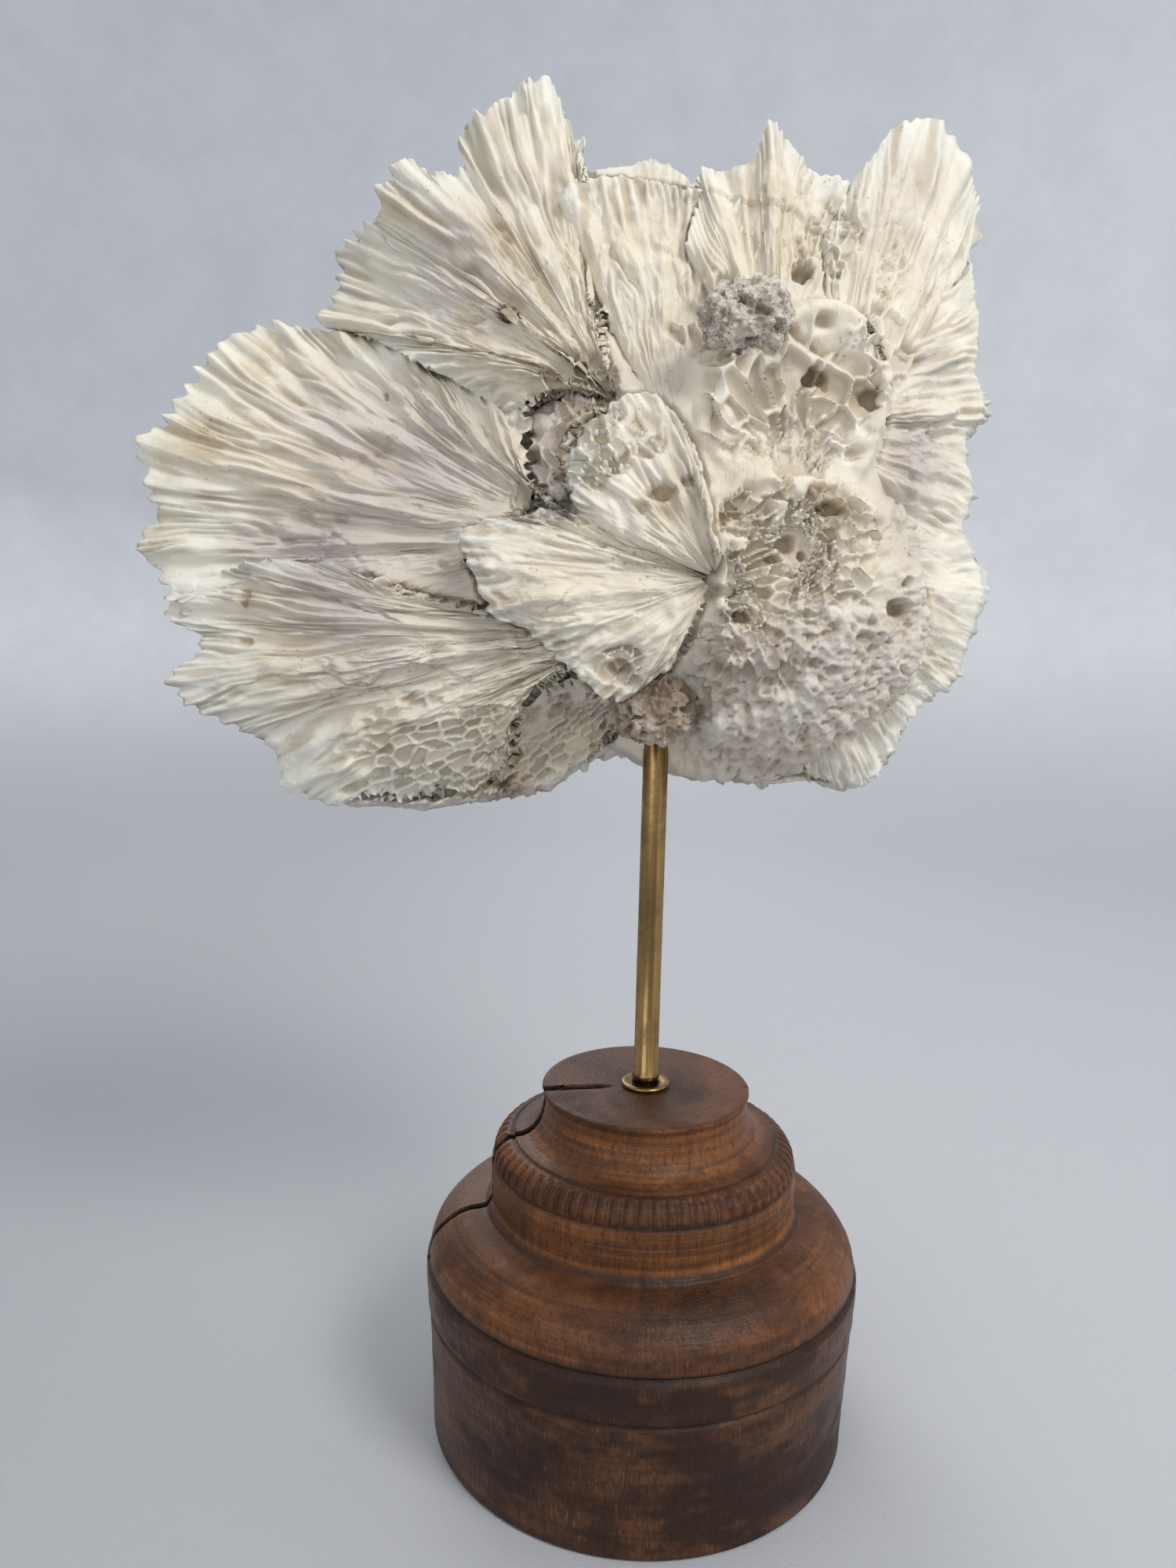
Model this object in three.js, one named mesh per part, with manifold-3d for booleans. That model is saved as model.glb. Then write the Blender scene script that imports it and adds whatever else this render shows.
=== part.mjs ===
// A bleached foliose coral colony, mounted on a brass rod over a turned wooden plinth.
// Millimetres, +Z up. The origin is the centre of the plinth's underside, and -Y is the front.
// The colony is split at its main forks: a heart, a holdfast, and the fronds that leave them.
import * as THREE from "three";
import Module from "manifold-3d";
import { mergeVertices } from "three/addons/utils/BufferGeometryUtils.js";

const wasm = await Module();
wasm.setup();

// ---------- driving dimensions ----------
const GAP = 0.3; // clearance kept between neighbouring pieces
const GROW = 0.5; // how far a piece is swollen before it is cut from its neighbour
const ROUND_STEPS = 30; // facets round the plinth
const ROD_STEPS = 20; // facets round the brass parts

const plinth = {
  footRadius: 68.9,
  shoulderRadius: 71.3,
  bandRadius: 50,
  topRadius: 34.1,
  grooveZ: 59,
  topZ: 116,
  boreRadius: 4.3,
  boreDepth: 36,
  crackAngle: (188 * Math.PI) / 180,
  crackWidth: 1.1,
  crackDepth: 5,
};
const rod = { radius: 4, topZ: 256 };
const washer = { outerRadius: 7.9, thickness: 1.3 };
const holdfast = { radiusX: 14, radiusY: 13, bottomZ: 229, topZ: 262 };
const heart = { centre: [13, 1, 302], radii: [60, 24, 62] };
const lump = { centre: [18, -37, 350], radii: [13.5, 9, 10.5] };

// A frond is a plate whose ribs leave one root point and run out to a margin.
// root and margin points are [x, y, z]; stem bends the ribs, as the offset from the root that
// they first aim for; bulge lifts the middle of the plate outwards; thick is [at root, at margin].
// steps is [along the margin, along a rib]. A frond that faces back is thickened towards -Y.
const fronds = {
  hand: {
    root: [12, -37, 280],
    margin: [[0, -33, 251], [-17, -34, 245], [-33, -35, 257], [-47, -37, 267], [-56, -38, 280],
      [-58, -38, 291], [-45, -37, 297], [-21, -35, 298]],
    stem: null, bulge: 4, thick: [12, 5], steps: [9, 3],
  },
  pillow: {
    root: [13, -39, 281],
    margin: [[-24, -36, 299], [-30, -37, 311], [-27, -36, 321], [-18, -35, 329], [-5, -35, 330],
      [4, -38, 318], [9, -40, 301]],
    stem: null, bulge: 7, thick: [10, 6], steps: [9, 3],
  },
  lower_left_frond: {
    root: [6, -30, 268],
    margin: [[-44, -12, 222], [-60, -11, 213], [-76, -12, 211], [-106, -10, 209], [-118, -10, 215],
      [-122, -10, 225], [-139, -12, 237], [-152, -12, 247], [-143, -9, 258], [-156, -7, 267],
      [-146, -7, 276], [-121, -12, 282], [-96, -15, 283]],
    stem: [-70, -6, -8], bulge: 6, thick: [14, 2.6], steps: [15, 4],
  },
  left_frond: {
    root: [-10, -24, 292],
    margin: [[-84, -4, 258], [-140, -5, 262], [-155, -4, 278], [-161, -4, 289], [-158, -1, 300],
      [-163, -4, 311], [-159, -4, 323], [-151, -2, 329], [-146, 1, 339], [-127, 4, 355],
      [-112, 4, 357], [-90, 2, 357], [-70, -2, 350], [-54, -8, 340], [-42, -14, 326]],
    stem: [-46, 8, -2], bulge: 2, thick: [12, 2.4], steps: [18, 4],
  },
  upper_left_frond: {
    root: [-16, -21, 329],
    margin: [[-46, -14, 326], [-66, -10, 338], [-89, -5, 349], [-111, 2, 355], [-108, 3, 361],
      [-104, 2, 368], [-99, -2, 378], [-89, -4, 382], [-80, -6, 378], [-76, -9, 368]],
    stem: [-14, 2, 16], bulge: 4, thick: [11, 2.4], steps: [12, 4],
  },
  crown_frond: {
    root: [-15, -22, 330],
    margin: [[-78, -9, 366], [-88, -8, 384], [-83, -12, 399], [-73, -4, 397], [-65, 2, 401],
      [-64, 4, 410], [-57, 2, 417], [-48, 6, 423], [-40, 8, 427], [-32, 8, 421], [-27, 4, 406],
      [-24, -2, 392]],
    stem: [-14, 2, 18], bulge: 1, thick: [12, 2.4], steps: [16, 4],
  },
  ribbed_wall: {
    root: [0, -24, 316],
    margin: [[-34, -7, 388], [-28, -5, 393], [-14, -5, 396], [5, -5, 393], [18, -7, 390],
      [28, -13, 376]],
    stem: null, bulge: 2, thick: [12, 4], steps: [8, 3],
  },
  tooth_frond: {
    root: [28, -27, 330],
    margin: [[2, -14, 376], [6, -8, 391], [7, -6, 399], [15, -5, 398], [22, -4, 402], [27, -5, 412],
      [32, -5, 406], [40, -6, 399], [52, -6, 395], [62, -10, 380]],
    stem: null, bulge: 2, thick: [12, 2.6], steps: [12, 3],
  },
  crest_frond: {
    root: [44, -28, 296],
    margin: [[42, -14, 378], [50, -9, 394], [57, -4, 403], [66, 4, 415], [77, 9, 418], [89, 15, 412],
      [95, 19, 400], [97, 20, 388]],
    stem: null, bulge: 8, thick: [14, 3], steps: [9, 4],
  },
  right_frond: {
    root: [24, -28, 322],
    margin: [[92, 24, 392], [99, 24, 374], [103, 21, 358], [101, 21, 347], [106, 20, 336],
      [98, 18, 326], [101, 19, 312], [99, 18, 300], [94, 15, 290]],
    stem: null, bulge: 14, thick: [14, 3], steps: [9, 4],
  },
  lower_right_frond: {
    root: [26, -30, 286],
    margin: [[92, 19, 304], [100, 18, 293], [106, 15, 280], [102, 15, 268], [98, 13, 259],
      [101, 11, 252], [89, 6, 243], [78, 2, 234], [70, -3, 221], [58, -7, 217], [46, -10, 222]],
    stem: null, bulge: 11, thick: [14, 3], steps: [10, 4],
  },
  bottom_lip: {
    root: [-2, -24, 262],
    margin: [[-110, -6, 213], [-97, -3, 207], [-78, 1, 206], [-55, 4, 206], [-36, 5, 211],
      [-21, 3, 223], [-8, -4, 242]],
    stem: null, bulge: 0, thick: [12, 4], steps: [10, 3],
  },
  back_top_frond: {
    root: [-8, 8, 352],
    margin: [[-30, 15, 398], [-22, 17, 405], [-8, 16, 407], [4, 17, 404], [12, 15, 394]],
    stem: null, bulge: 2, thick: [9, 2.4], steps: [7, 2],
  },
  back_low_frond: {
    root: [22, 6, 252],
    margin: [[-20, 10, 226], [-2, 12, 224], [8, 12, 226], [20, 14, 220], [35, 16, 213], [46, 16, 216],
      [62, 15, 213], [72, 15, 217], [84, 14, 238]],
    stem: null, bulge: 1, thick: [9, 2.4], steps: [10, 2],
  },
  rear_left_frond: {
    root: [4, 10, 288], facesBack: true,
    margin: [[-84, 32, 226], [-112, 36, 238], [-124, 40, 258], [-130, 42, 280], [-124, 42, 302],
      [-108, 38, 322], [-86, 32, 338]],
    stem: null, bulge: 7, thick: [12, 2.6], steps: [9, 3],
  },
  rear_low_frond: {
    root: [2, 10, 270], facesBack: true,
    margin: [[76, 34, 240], [56, 38, 224], [28, 42, 217], [-6, 43, 215], [-42, 42, 217],
      [-72, 38, 224], [-86, 32, 236]],
    stem: null, bulge: 7, thick: [12, 2.6], steps: [9, 3],
  },
  rear_crown_frond: {
    root: [-4, 12, 312], facesBack: true,
    margin: [[-92, 30, 342], [-82, 36, 364], [-60, 41, 384], [-34, 41, 394], [-8, 38, 394],
      [16, 34, 384]],
    stem: null, bulge: 7, thick: [12, 2.6], steps: [9, 3],
  },
  rear_right_frond: {
    root: [26, 12, 300], facesBack: true,
    margin: [[14, 36, 384], [34, 40, 391], [58, 42, 385], [78, 42, 366], [88, 38, 336],
      [90, 36, 304], [84, 36, 272], [70, 34, 246]],
    stem: null, bulge: 8, thick: [12, 2.6], steps: [10, 3],
  },
  rear_inner_frond: {
    root: [6, 24, 296], facesBack: true,
    margin: [[-50, 46, 288], [-48, 50, 314], [-32, 54, 336], [-8, 57, 348], [18, 57, 346],
      [38, 54, 332], [48, 48, 308], [44, 44, 284]],
    stem: null, bulge: 8, thick: [10, 2.4], steps: [9, 3],
  },
};

// Broken, honeycombed faces that are one piece with the heart: closed rims round one centre.
const heartFaces = [
  { // the open cup of long cells
    root: [32, -31, 316],
    margin: [[8, -40, 318], [9, -42, 334], [18, -41, 344], [30, -39, 353], [43, -37, 356],
      [55, -36, 350], [60, -35, 336], [59, -36, 320], [50, -36, 306], [28, -38, 303]],
    thick: [12, 16], bulge: 0, steps: [16, 2],
  },
  { // the comb below it
    root: [32, -38, 288],
    margin: [[12, -41, 281], [11, -42, 301], [20, -41, 310], [41, -39, 309], [56, -38, 304],
      [57, -39, 288], [47, -41, 270], [32, -41, 259], [16, -40, 256]],
    thick: [18, 16], bulge: 2, steps: [16, 2],
  },
  { // the crusted lower corner
    root: [50, -33, 252],
    margin: [[13, -26, 237], [26, -32, 254], [34, -38, 268], [50, -40, 281], [65, -35, 288],
      [77, -27, 276], [80, -20, 256], [68, -17, 236], [52, -15, 222], [30, -18, 229]],
    thick: [24, 14], bulge: 3, steps: [16, 2],
  },
];

// ---------- solids and meshes ----------

// The geometry as a manifold-3d solid with its faces pointing out.
function toSolid(geometry) {
  const bare = geometry.clone();
  bare.deleteAttribute("normal");
  bare.deleteAttribute("uv");
  const merged = mergeVertices(bare, 1e-3);
  const triVerts = new Uint32Array(merged.index.array);
  const build = () => new wasm.Manifold(
    new wasm.Mesh({ numProp: 3, vertProperties: merged.attributes.position.array, triVerts }),
  );
  const solid = build();
  if (solid.volume() > 0) return solid;
  for (let i = 0; i < triVerts.length; i += 3) {
    [triVerts[i + 1], triVerts[i + 2]] = [triVerts[i + 2], triVerts[i + 1]];
  }
  return build();
}

function toGeometry(solid) {
  const mesh = solid.getMesh();
  const geometry = new THREE.BufferGeometry();
  geometry.setAttribute("position", new THREE.BufferAttribute(mesh.vertProperties, mesh.numProp));
  geometry.setIndex(new THREE.BufferAttribute(mesh.triVerts, 1));
  return geometry;
}

function largestBody(solid) {
  return solid.decompose().reduce((best, body) => (body.volume() > best.volume() ? body : best));
}

// The same shape swollen by GROW along its vertex normals, used to cut a clearance.
function swollen(geometry) {
  const bare = geometry.clone();
  bare.deleteAttribute("normal");
  bare.deleteAttribute("uv");
  const grown = mergeVertices(bare, 1e-3);
  grown.computeVertexNormals();
  const position = grown.attributes.position;
  const normal = grown.attributes.normal;
  const outward = signedVolume(grown) > 0 ? GROW : -GROW;
  for (let i = 0; i < position.count; i++) {
    position.setXYZ(
      i,
      position.getX(i) + outward * normal.getX(i),
      position.getY(i) + outward * normal.getY(i),
      position.getZ(i) + outward * normal.getZ(i),
    );
  }
  return grown;
}

function signedVolume(geometry) {
  const position = geometry.attributes.position;
  const index = geometry.index;
  const [a, b, c] = [new THREE.Vector3(), new THREE.Vector3(), new THREE.Vector3()];
  let volume = 0;
  for (let i = 0; i < index.count; i += 3) {
    a.fromBufferAttribute(position, index.getX(i));
    b.fromBufferAttribute(position, index.getX(i + 1));
    c.fromBufferAttribute(position, index.getX(i + 2));
    volume += a.dot(b.cross(c)) / 6;
  }
  return volume;
}

// What a later piece is cut back from: a piece with the clearance round it.
function guarded(geometry) {
  return toSolid(geometry).add(toSolid(swollen(geometry)));
}

// ---------- coral ----------

// One point of a plate: a rib is a quadratic curve from the root, by way of a control point that
// stem and bulge place, to its point of the margin.
function ribPoint(plate, tip, v) {
  const root = new THREE.Vector3(...plate.root);
  const control = root.clone().add(tip).multiplyScalar(0.5);
  if (plate.stem) control.lerp(root.clone().add(new THREE.Vector3(...plate.stem)), 0.7);
  control.y += plate.facesBack ? 2 * plate.bulge : -2 * plate.bulge;
  return new THREE.QuadraticBezierCurve3(root, control, tip).getPoint(v);
}

// A closed plate: its outer face is the ribs from root to margin, and its inner face is the same
// surface moved in by the thickness there. A rim that closes on itself makes a full boss.
function plateGeometry(plate, closedRim) {
  const [along, out] = plate.steps;
  const inward = plate.facesBack ? -1 : 1;
  const rim = new THREE.CatmullRomCurve3(
    plate.margin.map((p) => new THREE.Vector3(...p)), closedRim, "centripetal",
  );
  const columns = closedRim ? along : along + 1;
  const tips = Array.from({ length: columns }, (_, i) => rim.getPoint(i / along));
  const vertices = [];
  const faces = [];
  const put = (p) => vertices.push(p.x, p.y, p.z) / 3 - 1;
  const inner = (p, v) => {
    const thickness = THREE.MathUtils.lerp(plate.thick[0], plate.thick[1], v);
    return new THREE.Vector3(p.x, p.y + inward * thickness, p.z);
  };
  const apex = ribPoint(plate, tips[0], 0);
  const outerApex = put(apex);
  const innerApex = put(inner(apex, 0));
  const grid = tips.map((tip) => Array.from({ length: out }, (_, j) => {
    const v = (j + 1) / out;
    const p = ribPoint(plate, tip, v);
    return [put(p), put(inner(p, v))];
  }));
  const quad = (a, b, c, d) => faces.push(a, b, c, a, c, d);
  const strips = closedRim ? columns : columns - 1;
  for (let i = 0; i < strips; i++) {
    const here = grid[i];
    const next = grid[(i + 1) % columns];
    faces.push(outerApex, here[0][0], next[0][0], innerApex, next[0][1], here[0][1]);
    for (let j = 0; j + 1 < out; j++) {
      quad(here[j][0], here[j + 1][0], next[j + 1][0], next[j][0]);
      quad(next[j][1], next[j + 1][1], here[j + 1][1], here[j][1]);
    }
    quad(here[out - 1][0], here[out - 1][1], next[out - 1][1], next[out - 1][0]);
  }
  if (!closedRim) {
    const sides = [[grid[0], false], [grid[columns - 1], true]];
    for (const [rib, flip] of sides) {
      const path = [[outerApex, innerApex], ...rib];
      for (let j = 0; j + 1 < path.length; j++) {
        const [a, b, c, d] = [path[j][0], path[j][1], path[j + 1][1], path[j + 1][0]];
        if (flip) quad(d, c, b, a);
        else quad(a, b, c, d);
      }
    }
  }
  const geometry = new THREE.BufferGeometry();
  geometry.setAttribute("position", new THREE.Float32BufferAttribute(vertices, 3));
  geometry.setIndex(faces);
  return geometry;
}

function ellipsoid({ centre, radii }, across, up) {
  const geometry = new THREE.SphereGeometry(1, across, up);
  geometry.scale(...radii);
  geometry.translate(...centre);
  return geometry;
}

// The heart: a solid core with the honeycombed faces joined on.
function heartSolid() {
  return heartFaces.reduce(
    (solid, face) => solid.add(toSolid(plateGeometry(face, true))),
    toSolid(ellipsoid(heart, 16, 10)),
  );
}

// The holdfast: a lathed knob, flattened front to back, that closes round the rod's end.
function holdfastGeometry() {
  const { radiusX, radiusY, bottomZ, topZ } = holdfast;
  const height = topZ - bottomZ;
  const outline = [[0, 0], [0.62, 0], [0.86, 0.12], [1, 0.42], [0.94, 0.78], [0.6, 1], [0, 1]];
  const geometry = new THREE.LatheGeometry(
    outline.map(([r, h]) => new THREE.Vector2(r * radiusX, h * height)), 16,
  );
  geometry.rotateX(Math.PI / 2);
  geometry.scale(1, radiusY / radiusX, 1);
  geometry.translate(0, 0, bottomZ);
  return geometry;
}

function rodPocket() {
  const radius = rod.radius + GAP;
  const height = rod.topZ + GAP - 200;
  const pocket = new THREE.CylinderGeometry(radius, radius, height, ROD_STEPS);
  pocket.rotateX(Math.PI / 2);
  pocket.translate(0, 0, 200 + height / 2);
  return pocket;
}

// ---------- stand ----------

// Half of the plinth's section, as radius and height, from the foot up to the top disc.
function plinthProfile() {
  const { footRadius, shoulderRadius, bandRadius, topRadius, grooveZ, topZ } = plinth;
  const profile = [
    [0, 0], [footRadius - 0.8, 0], [footRadius, 1], [shoulderRadius - 0.8, 42.6],
    [shoulderRadius - 1.6, 44], [shoulderRadius - 0.4, 45.4], [shoulderRadius, grooveZ - 1.4],
    [shoulderRadius - 1.6, grooveZ],
  ];
  // The domed shoulder is a quarter of an ellipse.
  const domeSteps = 5;
  const domeTop = [bandRadius + 2.4, 75.6];
  for (let i = 1; i <= domeSteps; i++) {
    const a = (i / domeSteps) * (Math.PI / 2) * 0.92;
    profile.push([
      domeTop[0] + (shoulderRadius - 1 - domeTop[0]) * Math.cos(a),
      grooveZ + (domeTop[1] - grooveZ) * Math.sin(a),
    ]);
  }
  profile.push([bandRadius + 1, 76.4], [bandRadius, 78.4], [bandRadius + 0.2, 91.4],
    [bandRadius - 0.4, 92.2]);
  // The bead under the neck is an ovolo.
  profile.push([bandRadius - 1, 95.6], [bandRadius - 3, 98.4], [bandRadius - 6, 99.9],
    [bandRadius - 6.6, 100.6]);
  // The neck is a hollow curve up to the top disc.
  const neckSteps = 3;
  for (let i = 1; i <= neckSteps; i++) {
    const a = (i / neckSteps) * (Math.PI / 2);
    profile.push([
      topRadius - 0.6 + (bandRadius - 7 - topRadius) * (1 - Math.sin(a)),
      101 + 11 * (1 - Math.cos(a)),
    ]);
  }
  profile.push([topRadius, topZ - 0.6], [topRadius - 0.6, topZ], [0, topZ]);
  return profile.map(([r, z]) => new THREE.Vector2(r, z));
}

function plinthSolid() {
  const turned = new THREE.LatheGeometry(plinthProfile(), ROUND_STEPS);
  turned.rotateX(Math.PI / 2);
  const bore = new THREE.CylinderGeometry(
    plinth.boreRadius, plinth.boreRadius, plinth.boreDepth + 10, ROD_STEPS,
  );
  bore.rotateX(Math.PI / 2);
  bore.translate(0, 0, plinth.topZ - plinth.boreDepth + (plinth.boreDepth + 10) / 2);
  return toSolid(turned).subtract(toSolid(bore)).subtract(crackSolid());
}

// The drying crack: a thin blade that follows the profile a few millimetres deep.
function crackSolid() {
  const skin = plinthProfile().filter((p) => p.x > 1 && p.y > 40);
  const blade = new THREE.Shape();
  const reach = 6;
  skin.forEach((p, i) => (i ? blade.lineTo(p.x + reach, p.y) : blade.moveTo(p.x + reach, p.y)));
  blade.lineTo(skin.at(-1).x + reach, plinth.topZ + reach);
  blade.lineTo(skin.at(-1).x - 3 * plinth.crackDepth, plinth.topZ + reach);
  [...skin].reverse().forEach((p) => blade.lineTo(p.x - plinth.crackDepth, p.y - 2));
  const geometry = new THREE.ExtrudeGeometry(blade, {
    depth: plinth.crackWidth, bevelEnabled: false, curveSegments: 1,
  });
  geometry.translate(0, 0, -plinth.crackWidth / 2);
  geometry.rotateX(Math.PI / 2);
  geometry.rotateZ(plinth.crackAngle);
  return toSolid(geometry);
}

function rodGeometry() {
  const bottom = plinth.topZ - plinth.boreDepth + GAP;
  const outline = [
    [0, bottom], [rod.radius - 0.6, bottom], [rod.radius, bottom + 0.6],
    [rod.radius, rod.topZ - 0.6], [rod.radius - 0.6, rod.topZ], [0, rod.topZ],
  ];
  const geometry = new THREE.LatheGeometry(
    outline.map(([r, z]) => new THREE.Vector2(r, z)), ROD_STEPS,
  );
  geometry.rotateX(Math.PI / 2);
  return geometry;
}

function washerGeometry() {
  const inner = rod.radius + GAP;
  const { outerRadius, thickness } = washer;
  const bottom = plinth.topZ + GAP;
  const outline = [
    [inner, bottom], [outerRadius, bottom], [outerRadius, bottom + thickness - 0.3],
    [outerRadius - 0.3, bottom + thickness], [inner, bottom + thickness], [inner, bottom],
  ];
  const geometry = new THREE.LatheGeometry(
    outline.map(([r, z]) => new THREE.Vector2(r, z)), ROD_STEPS,
  );
  geometry.rotateX(Math.PI / 2);
  return geometry;
}

// ---------- materials ----------
const finishes = {
  coral: { color: 0xe9e1cf, roughness: 0.75, metalness: 0 },
  crust: { color: 0xa8927c, roughness: 0.9, metalness: 0 },
  lump: { color: 0xbfb7ab, roughness: 0.95, metalness: 0 },
  wood: { color: 0x6b4028, roughness: 0.5, metalness: 0 },
  brass: { color: 0xa07c3a, roughness: 0.3, metalness: 1 },
};

function finishOf(name) {
  return new THREE.MeshStandardMaterial(finishes[name]);
}

// ---------- assembly ----------
const mounted = new THREE.Group();

function place(name, geometry, finish) {
  const mesh = new THREE.Mesh(geometry, finishOf(finish));
  mesh.name = name;
  mounted.add(mesh);
}

place("plinth", toGeometry(plinthSolid()), "wood");
place("brass_rod", rodGeometry(), "brass");
place("brass_washer", washerGeometry(), "brass");

// Each coral piece is cut back from everything taken by the pieces placed before it.
const knob = holdfastGeometry();
const pocket = toSolid(rodPocket());
place("holdfast", toGeometry(toSolid(knob).subtract(pocket)), "crust");

const stone = ellipsoid(lump, 12, 8);
place("encrusting_lump", stone, "lump");

let taken = guarded(knob).add(pocket).add(guarded(stone));
const core = toGeometry(largestBody(heartSolid().subtract(taken)));
place("heart", core, "coral");
taken = taken.add(guarded(core));

for (const [name, plate] of Object.entries(fronds)) {
  const geometry = plateGeometry(plate, false);
  place(name, toGeometry(largestBody(toSolid(geometry).subtract(taken))), "coral");
  taken = taken.add(guarded(geometry));
}

export default mounted;
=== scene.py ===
"""A bleached foliose coral colony on a brass rod over a turned wooden plinth, built for Blender."""
from __future__ import annotations

import logging
import math
from dataclasses import dataclass, field
from enum import Enum
from typing import Sequence

import bpy
import numpy as np
from mathutils import Matrix, Vector

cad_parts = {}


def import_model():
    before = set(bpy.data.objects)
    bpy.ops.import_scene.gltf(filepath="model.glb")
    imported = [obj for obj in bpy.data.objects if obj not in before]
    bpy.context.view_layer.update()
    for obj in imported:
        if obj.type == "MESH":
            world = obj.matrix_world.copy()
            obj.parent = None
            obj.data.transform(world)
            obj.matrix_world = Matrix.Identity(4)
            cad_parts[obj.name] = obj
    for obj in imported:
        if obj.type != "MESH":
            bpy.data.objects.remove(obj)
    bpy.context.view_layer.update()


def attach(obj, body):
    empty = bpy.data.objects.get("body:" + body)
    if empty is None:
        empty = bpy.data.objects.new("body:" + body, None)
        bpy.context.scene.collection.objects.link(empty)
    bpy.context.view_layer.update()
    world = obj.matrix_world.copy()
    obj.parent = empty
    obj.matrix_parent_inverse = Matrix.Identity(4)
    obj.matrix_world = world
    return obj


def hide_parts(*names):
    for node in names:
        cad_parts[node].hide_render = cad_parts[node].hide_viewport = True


LOG = logging.getLogger("coral")
MM = 0.001

Array = np.ndarray
Point = tuple[float, float, float]
Colour = tuple[float, float, float, float]


class Slot(Enum):
    """Material slots of the record."""

    CORAL = "coral"
    CRUST = "crust"
    LUMP = "lump"
    WOOD = "wood"
    BRASS = "brass"


# ---------- noise and small functions ----------


def smoothstep(low: float, high: float, x: Array) -> Array:
    """Rises smoothly from 0 at low to 1 at high."""
    t = np.clip((x - low) / (high - low), 0.0, 1.0)
    return t * t * (3.0 - 2.0 * t)


class Noise:
    """Seeded lattice noise on arrays of coordinates."""

    SIZE = 4096

    def __init__(self, seed: int) -> None:
        rng = np.random.default_rng(seed)
        self.permutation = rng.permutation(self.SIZE)
        self.values = rng.random(self.SIZE)

    def _hash(self, *cells: Array) -> Array:
        """One pseudo-random index for each lattice cell."""
        h = self.permutation[cells[0] % self.SIZE]
        for cell in cells[1:]:
            h = self.permutation[(h + cell) % self.SIZE]
        return h

    def value(self, *coords: Array) -> Array:
        """Smooth noise from -1 to 1: lattice values blended with a quintic curve.

        Args:
            coords: one to three arrays, in lattice units.
        Returns:
            An array of the broadcast shape.
        """
        grids = np.broadcast_arrays(*[np.asarray(c, dtype=float) for c in coords])
        floors = [np.floor(g).astype(np.int64) for g in grids]
        fractions = [g - f for g, f in zip(grids, floors)]
        eased = [t * t * t * (t * (6.0 * t - 15.0) + 10.0) for t in fractions]
        total = np.zeros(grids[0].shape)
        for corner in range(2 ** len(grids)):
            bits = [(corner >> axis) & 1 for axis in range(len(grids))]
            weight = np.ones(grids[0].shape)
            for bit, ease in zip(bits, eased):
                weight = weight * (ease if bit else 1.0 - ease)
            total += weight * self.values[self._hash(*[f + b for f, b in zip(floors, bits)])]
        return 2.0 * total - 1.0

    def fractal(self, *coords: Array, octaves: int = 4, gain: float = 0.5) -> Array:
        """Octaves of value noise, each twice as fine and gain times as strong."""
        total = np.zeros(np.broadcast(*coords).shape)
        strength, norm = 1.0, 0.0
        for octave in range(octaves):
            scale = 2.0**octave
            total += strength * self.value(*[c * scale + 17.3 * octave for c in coords])
            norm += strength
            strength *= gain
        return total / norm

    def cells(self, x: Array, y: Array, wrap: int = 0) -> tuple[Array, Array, Array]:
        """Irregular cells round one jittered seed point in each unit square.

        Args:
            x, y: coordinates in cell units.
            wrap: number of cells after which x repeats, or 0.
        Returns:
            The distance to the nearest seed, the margin to the second nearest (0 on a wall),
            and the nearest cell's own random number.
        """
        column, row = np.floor(x).astype(np.int64), np.floor(y).astype(np.int64)
        first = np.full(x.shape, 9.0)
        second = np.full(x.shape, 9.0)
        owner = np.zeros(x.shape)
        for dx in (-1, 0, 1):
            for dy in (-1, 0, 1):
                cx, cy = column + dx, row + dy
                name = self._hash(cx % wrap if wrap else cx, cy)
                px = cx + 0.15 + 0.7 * self.values[name]
                py = cy + 0.15 + 0.7 * self.values[(name + 911) % self.SIZE]
                distance = np.hypot(x - px, y - py)
                nearer = distance < first
                second = np.where(nearer, first, np.minimum(second, distance))
                owner = np.where(nearer, self.values[(name + 77) % self.SIZE], owner)
                first = np.where(nearer, distance, first)
        return first, second - first, owner


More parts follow.
